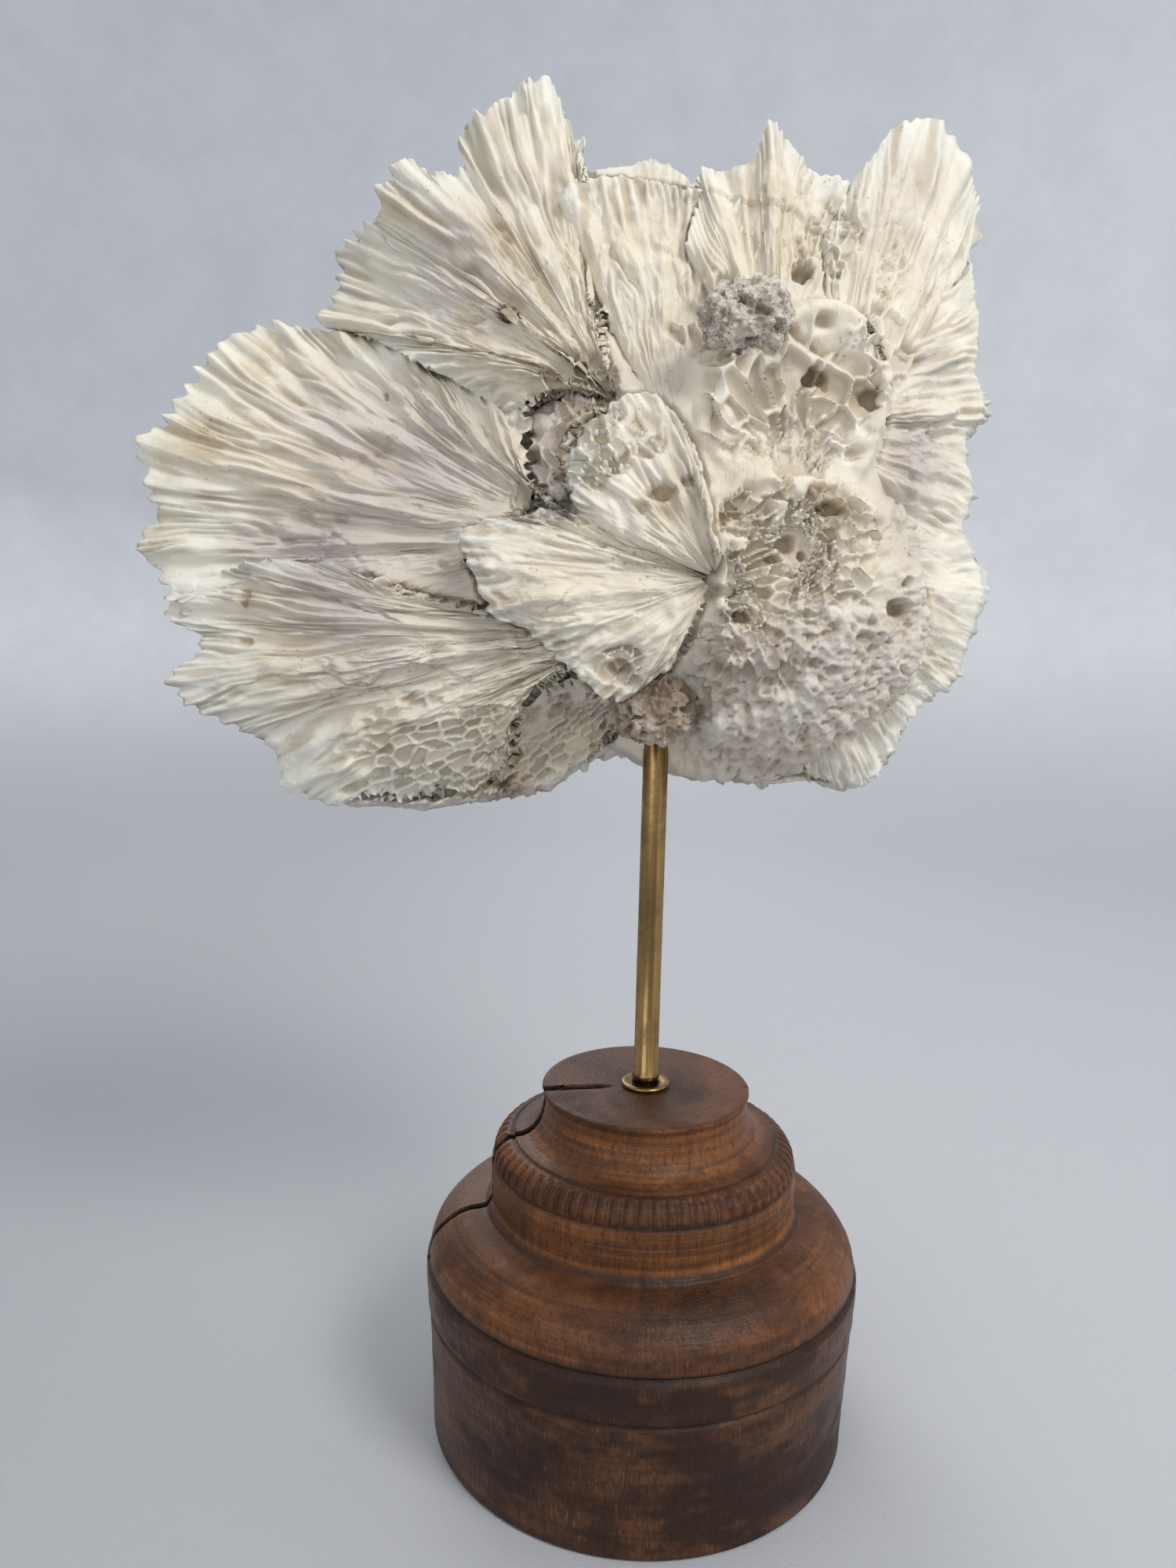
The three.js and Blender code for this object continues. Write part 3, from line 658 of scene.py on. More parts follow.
FRONDS: list[FrondPlan] = [
    FrondPlan(
        "hand", (12, -37, 280),
        [(0, -33, 251), (-17, -34, 245), (-33, -35, 257), (-47, -37, 267), (-56, -38, 280),
         (-58, -38, 291), (-45, -37, 297), (-21, -35, 298)],
        None, 4, (12, 5),
        relief=Relief(height=0.7, fold_pitch=11, fold_height=1.87, serration=1.61, scallop=4.0,
                      ruffle=1.6, crust=0.35, rim_crust=1.5),
    ),
    FrondPlan(
        "pillow", (13, -39, 281),
        [(-26, -33, 292), (-30, -37, 309), (-27, -36, 321), (-18, -35, 329), (-5, -35, 330),
         (4, -38, 318), (9, -40, 301)],
        None, 7, (10, 6),
        relief=Relief(height=0.864, pitch=4.0, fold_height=1.7, fold_pitch=12, serration=1.36,
                      scallop=3.0, ruffle=1.4, crust=0.3),
    ),
    FrondPlan(
        "lower_left_frond", (6, -30, 268),
        [(-44, -12, 222), (-60, -11, 213), (-76, -12, 211), (-106, -10, 209), (-118, -10, 215),
         (-122, -10, 225), (-139, -12, 237), (-152, -12, 247), (-143, -9, 258), (-156, -7, 267),
         (-146, -7, 276), (-121, -12, 282), (-96, -15, 283)],
        (-70, -6, -8), 6, (14, 2.6),
        relief=Relief(height=1.0, fold_height=2.4, fold_pitch=12), calm=(0.0, 0.16),
    ),
    FrondPlan(
        "left_frond", (-10, -24, 292),
        [(-60, -9, 252), (-84, -4, 258), (-140, -5, 262), (-155, -4, 278), (-161, -4, 289),
         (-158, -1, 300), (-162.4, -4, 311), (-159, -4, 323), (-151, -2, 329), (-146, 1, 339),
         (-127, 4, 355), (-112, 4, 357), (-90, 2, 357), (-70, -2, 350), (-54, -8, 340),
         (-42, -14, 326)],
        (-46, 8, -2), 2, (12, 2.4),
        relief=Relief(height=1.0, pitch=4.6, fold_height=3.0, fold_pitch=15, serration=3.4),
        calm=(0.1, 0.1),
    ),
    FrondPlan(
        "upper_left_frond", (-16, -21, 329),
        [(-46, -14, 326), (-66, -10, 338), (-89, -5, 349), (-111, 2, 355), (-108, 3, 361),
         (-104, 2, 368), (-99, -2, 378), (-89, -4, 382), (-80, -6, 378), (-76, -9, 368)],
        (-14, 2, 16), 4, (11, 2.4),
        relief=Relief(height=1.2, pitch=3.8, fold_height=2.0, fold_pitch=12), calm=(0.46, 0.1),
    ),
    FrondPlan(
        "crown_frond", (-15, -22, 330),
        [(-78, -9, 366), (-88, -8, 384), (-83, -12, 399), (-73, -4, 397), (-65, 2, 401),
         (-64, 4, 410), (-57, 2, 417), (-48, 6, 422.6), (-40, 8, 426.4), (-32, 8, 420.6),
         (-27, 4, 406), (-24, -2, 392)],
        (-14, 2, 18), 1, (12, 2.4),
        relief=Relief(height=1.3, pitch=4.0, fold_height=2.55, fold_pitch=13), calm=(0.08, 0.05),
    ),
    FrondPlan(
        "ribbed_wall", (0, -24, 316),
        [(-34, -7, 388), (-28, -5, 393), (-14, -5, 396), (5, -5, 393), (18, -7, 390),
         (28, -13, 376)],
        None, 2, (12, 4),
        relief=Relief(height=1.15, pitch=4.2, fold_height=1.36, serration=1.49, scallop=3.0,
                      ruffle=1.4, swell=3.0, crust=0.35, rim_crust=0.8),
    ),
    FrondPlan(
        "tooth_frond", (28, -27, 330),
        [(2, -14, 376), (6, -8, 391), (7, -6, 399), (15, -5, 398), (22, -4, 402), (27, -5, 412),
         (32, -5, 406), (40, -6, 399), (52, -6, 395), (62, -10, 380)],
        None, 2, (12, 2.6),
        relief=Relief(height=1.0, pitch=3.2, fold_height=1.19, serration=1.49, scallop=1.6,
                      ruffle=1.2),
    ),
    FrondPlan(
        "crest_frond", (44, -28, 296),
        [(42, -14, 378), (50, -9, 394), (57, -4, 403), (66, 4, 415), (77, 9, 418), (89, 15, 412),
         (95, 19, 400), (97, 20, 388)],
        None, 8, (14, 3),
        relief=Relief(height=0.8, pitch=4.4, fold_height=1.87, fold_pitch=12, serration=1.61,
                      scallop=3.0, ruffle=2.0, crust=0.25),
    ),
    FrondPlan(
        "right_frond", (24, -28, 322),
        [(92, 24, 392), (99, 24, 374), (103, 21, 358), (101, 21, 347), (106, 20, 336),
         (98, 18, 326), (101, 19, 312), (99, 18, 300), (94, 15, 290)],
        None, 14, (14, 3),
        relief=Relief(height=1.1, pitch=3.8, fold_height=1.87, fold_pitch=11, scallop=3.0),
    ),
    FrondPlan(
        "lower_right_frond", (26, -30, 286),
        [(92, 19, 304), (100, 18, 293), (106, 15, 280), (102, 15, 268), (98, 13, 259),
         (101, 11, 252), (89, 6, 243), (78, 2, 234), (70, -3, 221), (58, -7, 217), (46, -10, 222)],
        None, 11, (14, 3),
        relief=Relief(height=0.792, pitch=3.8, fold_height=1.87, fold_pitch=11, serration=2.23,
                      scallop=3.0, crust=0.3),
    ),
    FrondPlan(
        "bottom_lip", (-2, -24, 262),
        [(-110, -6, 213), (-97, -3, 207), (-78, 1, 206), (-55, 4, 206), (-36, 5, 211),
         (-21, 3, 223), (-8, -4, 242)],
        None, 0, (12, 4),
        relief=Relief(height=0.576, fold_height=1.53, serration=1.49, scallop=3.0, ruffle=1.4,
                      crust=0.35, rim_crust=0.8),
    ),
    FrondPlan(
        "back_top_frond", (-8, 8, 352),
        [(-30, 15, 398), (-22, 17, 405), (-8, 16, 407), (4, 17, 404), (12, 15, 394)],
        None, 2, (9, 2.4),
        relief=Relief(height=0.576, serration=2.73, scallop=2.0, ruffle=1.4, fold_height=1.02),
    ),
    FrondPlan(
        "back_low_frond", (22, 6, 252),
        [(-20, 10, 226), (-2, 12, 224), (8, 12, 226), (20, 14, 220), (35, 16, 213),
         (46, 16, 216), (62, 15, 213), (72, 15, 217), (84, 14, 238)],
        None, 1, (9, 2.4),
        relief=Relief(height=0.648, serration=2.48, scallop=2.0, ruffle=1.4, fold_height=1.02),
    ),
    FrondPlan(
        "rear_left_frond", (4, 10, 288),
        [(-84, 32, 226), (-112, 36, 238), (-124, 40, 258), (-130, 42, 280), (-124, 42, 302),
         (-108, 38, 322), (-86, 32, 338)],
        None, 7, (12, 2.6), True,
    ),
    FrondPlan(
        "rear_low_frond", (2, 10, 270),
        [(76, 34, 240), (56, 38, 224), (28, 42, 217), (-6, 43, 215), (-42, 42, 217),
         (-72, 38, 224), (-86, 32, 236)],
        None, 7, (12, 2.6), True,
    ),
    FrondPlan(
        "rear_crown_frond", (-4, 12, 312),
        [(-92, 30, 342), (-82, 36, 364), (-60, 41, 384), (-34, 41, 394), (-8, 38, 394),
         (16, 34, 384)],
        None, 7, (12, 2.6), True,
    ),
    FrondPlan(
        "rear_right_frond", (26, 12, 300),
        [(14, 36, 384), (34, 40, 391), (58, 42, 385), (78, 42, 366), (88, 38, 336), (90, 36, 304),
         (84, 36, 272), (70, 34, 246)],
        None, 8, (12, 2.6), True,
    ),
    FrondPlan(
        "rear_inner_frond", (6, 24, 296),
        [(-50, 46, 288), (-48, 50, 314), (-32, 54, 336), (-8, 57, 348), (18, 57, 346),
         (38, 54, 332), (48, 48, 308), (44, 44, 284)],
        None, 8, (10, 2.4), True,
    ),
]


class Frond:
    """Builds one frond's two worked faces and its thin rim."""

    COLUMN = 0.62  # spacing of columns along the margin, mm
    ROW = 0.95  # spacing of rows along a rib, mm
    FIRST = 0.04  # share of a rib at which the plate starts
    SEAT = 8.0  # how deep an edge that lies on a neighbour reaches into it, mm
    CALMING = 0.05  # share of the margin over which the teeth die away

    def __init__(self, plan: FrondPlan, seed: int) -> None:
        self.plan = plan
        self.noise = Noise(seed)
        self.side = 1.0 if plan.faces_back else -1.0
        self.root = np.array(plan.root, dtype=float)
        rough = spline(plan.margin, 64)
        self.run = float(np.linalg.norm(np.diff(rough, axis=0), axis=1).sum())
        self.length = float(np.percentile(np.linalg.norm(rough - self.root, axis=1), 80))
        columns = 2 * int(self.run / self.COLUMN / 2) + 1
        rows = 2 * int(self.length / self.ROW / 2) + 1
        self.tips = spline(plan.margin, columns)
        self.t = np.linspace(0, 1, columns)[:, None]
        self.v = np.linspace(self.FIRST, 1, rows)[None, :]
        self.base = self._surface(self.v * (1 - self._bite() * smoothstep(0.5, 1.0, self.v)))

    def _surface(self, v: Array) -> Array:
        """Each rib is the quadratic curve root (1-v)^2 + control 2v(1-v) + tip v^2."""
        control = (self.root + self.tips) / 2
        if self.plan.stem is not None:
            control = 0.3 * control + 0.7 * (self.root + np.array(self.plan.stem))
        control[:, 1] += self.side * 2 * self.plan.bulge
        w = v[..., None]
        return (1 - w) ** 2 * self.root + 2 * w * (1 - w) * control[:, None] + w**2 * self.tips[:, None]

    def _costae(self, t: Array, width: Array, pitch: float, sharpness: float) -> Array:
        """Ribs that divide in two as the plate widens.

        The wanted number of ribs is width / pitch. Its base-2 logarithm has a whole part, whose
        cosine wave is drawn, and a fraction, over which the wave of twice the number takes over.
        """
        base = max(width.min() / pitch, 2.0)
        level = np.log2(np.maximum(width / pitch, base) / base)
        level = level + 0.8 * self.noise.value(t * self.run / 11, level * 2.0 + 5.0)
        level = np.maximum(level, 0.0)
        whole = np.floor(level)
        share = smoothstep(0.25, 0.8, level - whole)
        coarse = 0.5 + 0.5 * np.cos(2 * np.pi * t * base * 2.0**whole)
        fine = 0.5 + 0.5 * np.cos(2 * np.pi * t * base * 2.0 ** (whole + 1))
        return (coarse * (1 - share) + fine * share) ** sharpness

    def _bite(self) -> Array:
        """How far the margin falls short of its ribs' ends, as a share of each rib.

        Ribs end in points between bays: teeth of uneven size on slower scallops.
        """
        r, along = self.plan.relief, self.t * self.run
        wander = 3.2 * self.noise.value(along / 9, 3.7)
        teeth = 0.5 + 0.5 * np.cos(2 * np.pi * (along + wander) / (1.25 * r.pitch))
        uneven = 0.1 + 1.15 * (0.5 + 0.5 * self.noise.value(along / 4.5, 1.5))
        small = 0.5 + 0.5 * self.noise.fractal(along / 2.2, np.full_like(along, 6.1), octaves=2)
        bays = 0.5 + 0.5 * self.noise.fractal(along / 12, np.full_like(along, 8.5), octaves=2)
        bite = r.serration * ((1 - teeth) * uneven**1.5 + 0.35 * small)
        bite = bite + r.scallop * smoothstep(0.35, 0.8, bays)
        start, end = self.plan.calm
        bite = bite * smoothstep(start - self.CALMING, start + 0.01, self.t)
        bite = bite * smoothstep(end - self.CALMING, end + 0.01, 1 - self.t)
        return bite / np.maximum(np.linalg.norm(self.tips - self.root, axis=1), 1)[:, None]

    def _relief(self, width: Array, seed: float) -> tuple[Array, Array]:
        """Height above the plain plate, and how far a point is down a valley.

        The height is wide folds, wavering ribs on them, slow swelling and grain. In worn patches
        the ribs fade and crests run along the noise's zero line.
        """
        r, t, v = self.plan.relief, self.t, self.v
        across = t * width.max() + seed
        along = v * self.length
        noise = self.noise
        wander = noise.value(across / 14, along / 22) + 0.35 * noise.value(across / 6, along / 11 + 9)
        bent = t + 0.75 * r.pitch / width * wander
        ribs = self._costae(bent, width, r.pitch, 1.9)
        folds = self._costae(t + 0.4 * r.fold_pitch / width * noise.value(
            across / 22 + 3, along / 30), width, r.fold_pitch, 1.0)
        strength = 0.35 + 1.15 * smoothstep(-0.5, 0.6, noise.fractal(
            across / 7 + 40, along / 18, octaves=2))
        worn = smoothstep(-0.05, 0.35, noise.fractal(across / 30 + 80, along / 26, octaves=2))
        worn = worn * smoothstep(0.97, 0.7, v)
        strength = strength * (1 - 0.72 * worn)
        growth = 0.45 + 0.55 * smoothstep(0.05, 0.7, v)
        height = r.height * strength * growth * ribs + r.fold_height * growth * (folds - 0.5)
        threads = 0.5 + 0.5 * np.cos(2 * np.pi * bent * width / (0.38 * r.pitch))
        height += 0.16 * threads * smoothstep(-0.2, 0.5, noise.value(across / 9, along / 9 + 70))
        height += r.swell * noise.fractal(across / 30 + 7, along / 26, octaves=3)
        crease = noise.fractal(across / 8 + 3 * wander, along / 13 + 60, octaves=3)
        height += (0.25 + 0.75 * worn) * (0.75 * smoothstep(0.13, 0.0, np.abs(crease)) + 1.6 * crease)
        height += r.crust * noise.fractal(across / 2.2, along / 2.2, octaves=3)
        rim = r.rim_crust * smoothstep(0.8, 0.97, v)
        height += rim * noise.fractal(across / 3.2, along / 3.2 + 30, octaves=4)
        valley = (1 - ribs) * (0.5 + 0.5 * growth) * np.minimum(strength, 1.0)
        valley = valley + 0.5 * np.minimum(rim, 1.0) * (0.5 + noise.value(across / 2.4, along / 2.4))
        return height, valley

    def _seated(self, width: Array) -> Array:
        """1 along the two outermost ribs and the calm stretches of the margin, 0 elsewhere."""
        t, v = self.t, self.v
        start, end = self.plan.calm
        sides = smoothstep(6.0, 2.5, np.minimum(t, 1 - t) * width)
        calm = np.maximum(smoothstep(start + 0.01, start - self.CALMING, t),
                          smoothstep(end + 0.01, end - self.CALMING, 1 - t))
        return np.maximum(sides * smoothstep(1.0, 0.93, v), calm * smoothstep(0.5, 0.85, v))

    def shell(self, growth: Growth, marks: Marks) -> Shell:
        """The closed plate: worked front, worked back at half the density, and the rim."""
        plan, t, v = self.plan, self.t, self.v
        base = growth.raised(self.base)
        width = np.linalg.norm(np.diff(base, axis=0), axis=2).sum(axis=0)[None, :]
        filled = smoothstep(0.8, 4.0, growth.read(growth.rise, base[..., 0], base[..., 2]))
        normal = surface_normals(base)
        if normal[..., 1].mean() * self.side < 0:
            normal = -normal
        square_on = np.array([0.0, self.side, 0.0])
        lean = 0.65 * smoothstep(0.04, 0.3, v)[..., None]
        normal = normal * lean + square_on * (1 - lean)
        ruffle = plan.relief.ruffle * v**3 * self.noise.fractal(
            t * self.run / 16 + 5, v * 2.0, octaves=2)
        base = base + normal * ruffle[..., None]
        height, valley = self._relief(width, 0.0)
        height, valley = height * (1 - 0.65 * filled), valley * (1 - 0.5 * filled) + 0.3 * filled
        thickness = plan.thick[0] + (plan.thick[1] - plan.thick[0]) * v
        thickness = thickness * (1 - 0.62 * smoothstep(0.8, 1.0, v))
        thickness = np.maximum(thickness, self.SEAT * self._seated(width))
        edge_roll = 1 - np.sqrt(1 - np.clip(1 - np.minimum(t, 1 - t) * width / 6.0, 0, 1) ** 2)
        height = height - 0.55 * thickness * edge_roll
        # stain is the cavity mask: rib valleys, comb cells, grooves and pits, darkened in the coral
        # partly as stain and partly as painted shade.
        stain = valley
        if not plan.faces_back:
            x, z = base[..., 0], base[..., 2]
            share, depth, cell = marks.combs(x, z)
            lip, groove = marks.lips(x, z)
            holes = marks.holes(x, z)
            height = height * (1 - 0.75 * share) - share * depth + lip - holes
            stain = valley * (1 - share) + 1.3 * share * cell
            stain = np.maximum(np.maximum(stain, groove), np.clip(holes / 4.5, 0, 1) * 1.3)
        front = base + normal * height[..., None]

        back_height, back_valley = self._relief(width, 300.0)
        fade = smoothstep(1.0, 0.88, v)
        low = np.minimum(height, 0.0)
        depth = thickness + fade * (0.7 * back_height + 0.4)
        inner = base - square_on * (depth - (1 - fade) * height - fade * low)[..., None]
        inner = inner[::2, ::2]

        outer_index = np.arange(front[..., 0].size).reshape(front.shape[:2])
        inner_index = outer_index.size + np.arange(inner[..., 0].size).reshape(inner.shape[:2])
        faces = [grid_quads(outer_index), grid_quads(inner_index)[:, ::-1],
                 self._rim(outer_index, inner_index)]
        vertices = np.vstack([front.reshape(-1, 3), inner.reshape(-1, 3)])
        edge = smoothstep(0.78, 1.0, v) * np.ones_like(t)
        hollow = growth.read(growth.hollow, base[..., 0], base[..., 2])
        chart = np.stack(np.broadcast_arrays(t * self.run, v * self.length), axis=-1)

        def both(outer: Array, inside: Array) -> Array:
            """One row of numbers for the outer grid, then the thinned inner one."""
            return np.concatenate([outer.ravel(), inside[::2, ::2].ravel()])

        # hollow turns into painted shade in the coral; the inner face gets a fixed half share of it.
        masks = {
            "cavity": np.clip(both(stain, back_valley), 0, 1.3),
            "hollow": np.clip(both(hollow, 0.5 + 0 * hollow), -0.5, 1),
            "edge": both(edge, edge),
            **stains(vertices, self.noise),
        }
        charts = np.vstack([chart.reshape(-1, 2), chart[::2, ::2].reshape(-1, 2)])
        return Shell(vertices, outward(vertices, faces), masks, charts)

    @staticmethod
    def _rim(outer: Array, inner: Array) -> Array:
        """Five-cornered faces that join each two steps of the outer edge to one of the inner."""
        out, back = border(outer), border(inner)
        a, b, c = out[0::2], out[1::2], np.roll(out, -2)[0::2]
        return np.stack([c, b, a, back, np.roll(back, -1)], axis=-1)


# ---------- the heart ----------


@dataclass(frozen=True)
class Boss:
    """A swelling of the heart: a closed rim of ribs round one centre, domed by bulge."""

    centre: Point
    rim: Sequence[Point]
    bulge: float

    def surface(self) -> Array:
        """The ribs, as in a frond, on a grid that goes once round."""
        tips = spline(self.rim, 260, closed=True)
        centre = np.array(self.centre, dtype=float)
        control = (centre + tips) / 2
        control[:, 1] -= 2 * self.bulge
        w = np.linspace(0, 1, 80)[None, :, None]
        return (1 - w) ** 2 * centre + 2 * w * (1 - w) * control[:, None] + w**2 * tips[:, None]


BOSSES = [
    Boss((32, -31, 316),
         [(8, -40, 318), (9, -42, 334), (18, -41, 344), (30, -39, 353), (43, -37, 356),
          (55, -36, 350), (60, -35, 336), (59, -36, 320), (50, -36, 306), (28, -38, 303)], 0),
    Boss((32, -38, 288),
         [(12, -41, 281), (11, -42, 301), (20, -41, 310), (41, -39, 309), (56, -38, 304),
          (57, -39, 288), (47, -41, 270), (32, -41, 259), (16, -40, 256)], 2),
    Boss((50, -33, 252),
         [(13, -26, 237), (26, -32, 254), (34, -38, 268), (50, -40, 281), (65, -35, 288),
          (77, -27, 276), (80, -20, 256), (68, -17, 236), (52, -15, 222), (30, -18, 229)], 3),
]


@dataclass
class Heart:
    """The colony's broken middle: an oval sheet with its border turned in.

    A square of s and t from -1 to 1 becomes an oval: x goes with s sqrt(1 - t^2 / 2), and z
    with t sqrt(1 - s^2 / 2).
    """

    middle: tuple[float, float] = (19.0, 294.0)
    radii: tuple[float, float] = (67.0, 77.0)
    step: float = 0.5
    tuck: float = 14.0
    noise: Noise = field(default_factory=lambda: Noise(31))

    def __post_init__(self) -> None:
        counts = [int(2 * radius / self.step) for radius in self.radii]
        s, t = np.meshgrid(*[np.linspace(-1, 1, n) for n in counts], indexing="ij")
        self.x = self.middle[0] + self.radii[0] * s * np.sqrt(1 - t**2 / 2)
        self.z = self.middle[1] + self.radii[1] * t * np.sqrt(1 - s**2 / 2)
        self.away = np.sqrt(s**2 + t**2 - s**2 * t**2)
        face = Growth(-1.0)
        for boss in BOSSES:
            face.lay(boss.surface())
        core = -1 + 24 * np.sqrt(np.clip(
            1 - ((self.x - 13) / 60) ** 2 - ((self.z - 302) / 62) ** 2, 0, 1))
        face.lay(np.stack([self.x, -core, self.z], axis=-1))
        face.settle([(5.0, 0.3), (3.0, 0.2)])
        depth = face.read(blurred(face.level, 1.2), self.x, self.z)
        depth = depth - 12 * smoothstep(0.86, 1.0, self.away) ** 2
        self.base = np.stack([self.x, -depth, self.z], axis=-1)

    def shell(self, growth: Growth, marks: Marks) -> Shell:
        """Height over the sheet: combs, lips, holes, folds and, low on the right, rubble."""
        x, z, noise = self.x, self.z, self.noise
        base = growth.raised(self.base)
        normal = surface_normals(base)
        if normal[..., 1].mean() > 0:
            normal = -normal
        share, depth, cell = marks.combs(x, z)
        lip, groove = marks.lips(x, z)
        holes = marks.holes(x, z)
        rubble = smoothstep(1.1, 0.75, np.hypot((x - 44) / 44, (z - 243) / 34)
                            + 0.15 * noise.value(x / 6, z / 6))
        rubble = np.maximum(rubble, 0.7 * smoothstep(58, 66, x + 3 * noise.value(x / 5, z / 9)))
        height = 2.0 * noise.fractal(x / 16, z / 16, octaves=3)
        height += 0.5 * noise.fractal(x / 4 + 9, z / 4, octaves=3)
        flakes = np.abs(noise.fractal(x / 6 + 3, z / 5, octaves=4))
        height += rubble * (3.4 * (0.35 - flakes) + 0.5 * noise.fractal(x / 1.5, z / 1.5, octaves=2))
        turn = np.arctan2(z - 268, x - 22) * 22 + 0.9 * noise.value(x / 8, z / 8)
        height += 0.8 * rubble * (0.5 + 0.5 * np.cos(turn * 2)) * smoothstep(262, 236, z)
        pores = (0.25 + 0.75 * rubble) * smoothstep(0.42, 0.66, noise.value(x / 1.5 + 9, z / 1.5))
        height = height - share * depth * (1 - 0.5 * rubble) + lip - holes - 1.1 * pores * rubble
        front = base + normal * height[..., None]

        deep = border(front)
        deep[:, 1] = self.tuck
        index = np.arange(x.size).reshape(x.shape)
        edge = border(index)
        ring = x.size + np.arange(len(edge))
        vertices = np.vstack([front.reshape(-1, 3), deep, deep.mean(axis=0)[None]])
        faces = [
            grid_quads(index),
            np.stack([np.roll(edge, -1), edge, ring, np.roll(ring, -1)], axis=-1),
            fan(ring, len(vertices) - 1),
        ]
        # stain is the cavity mask: comb cells, pits, grooves and the rubble's pores and flakes, darkened
        # partly as stain and partly as painted shade.
        stain = np.maximum(1.3 * share * cell, np.clip(holes / 3.5, 0, 1.3))
        stain = np.maximum(np.maximum(stain, groove), rubble * (0.25 + 0.75 * pores)
                           + rubble * smoothstep(0.18, 0.4, flakes) * 0.5)
        # The tucked border takes a middling cavity and hollow: painted shade.
        rest = np.full(len(edge) + 1, 0.5)
        hollow = growth.read(growth.hollow, x, z)
        masks = {
            "cavity": np.clip(np.concatenate([stain.ravel(), rest]), 0, 1.3),
            "hollow": np.concatenate([hollow.ravel(), rest]),
            "edge": np.zeros(len(vertices)),
            **stains(vertices, noise),
        }
        # The rubble takes the grey-violet painted shade too.
        masks["violet_shade"][:x.size] = np.maximum(masks["violet_shade"][:x.size], 0.55 * rubble.ravel())
        return Shell(vertices, outward(vertices, faces), masks, vertices[:, [0, 2]])


@dataclass(frozen=True)
class Pebble:
    """An ellipsoid roughened by noise: centre, radii, grain size and heights in mm."""

    name: str
    centre: Point
    radii: Point
    grain: float
    rough: float
    pits: float
    segments: int

    def shell(self, seed: int) -> Shell:
        """Points of a sphere at longitude a and latitude b, moved along their radius."""
        noise = Noise(seed)
        around, up = self.segments, self.segments // 2
        a = np.linspace(0, 2 * np.pi, around, endpoint=False)[:, None]
        b = np.linspace(-np.pi / 2 + 0.02, np.pi / 2 - 0.02, up)[None, :]
        unit = np.stack([np.cos(b) * np.cos(a), np.cos(b) * np.sin(a),
                         np.sin(b) * np.ones_like(a)], axis=-1)
        place = unit * np.array(self.radii)
        u = [place[..., k] / self.grain for k in range(3)]
        bumps = noise.fractal(*u, octaves=4, gain=0.6)
        hollow = smoothstep(0.25, 0.6, noise.value(*[c * 1.7 + 11 for c in u]))
        height = self.rough * bumps - self.pits * hollow
        grid = place + unit * height[..., None] + np.array(self.centre)
        index = np.arange(around * up).reshape(around, up)
        vertices = np.vstack([grid.reshape(-1, 3), grid[:, 0].mean(axis=0)[None],
                              grid[:, -1].mean(axis=0)[None]])
        faces = capped(index, len(vertices))
        masks = {
            # cavity is painted shade: darker in the pits, less so on the bumps.
            "cavity": np.append(np.clip(hollow * 0.8 - 0.3 * bumps, 0, 1).ravel(), [0.3, 0.3]),
            "hollow": np.zeros(len(vertices)),
            "edge": np.zeros(len(vertices)),
            **stains(vertices, noise),
        }
        return Shell(vertices, outward(vertices, faces), masks, vertices[:, [0, 2]])


CORE = Pebble("heart_core", (13, 1, 302), (58, 23, 60), 7.0, 3.6, 3.2, 320)
LUMP = Pebble("encrusting_growth", (18.6, -37, 350), (12.2, 8.4, 10.0), 4.4, 3.6, 1.8, 280)
KNOB = Pebble("holdfast_knob", (0, 0, 245.5), (13.5, 12.5, 17), 5.0, 2.2, 1.6, 220)
CRUST = Pebble("holdfast_crust", (-3, -21, 243), (12.5, 10.5, 11), 4.0, 3.6, 2.0, 240)


# ---------- the stand ----------


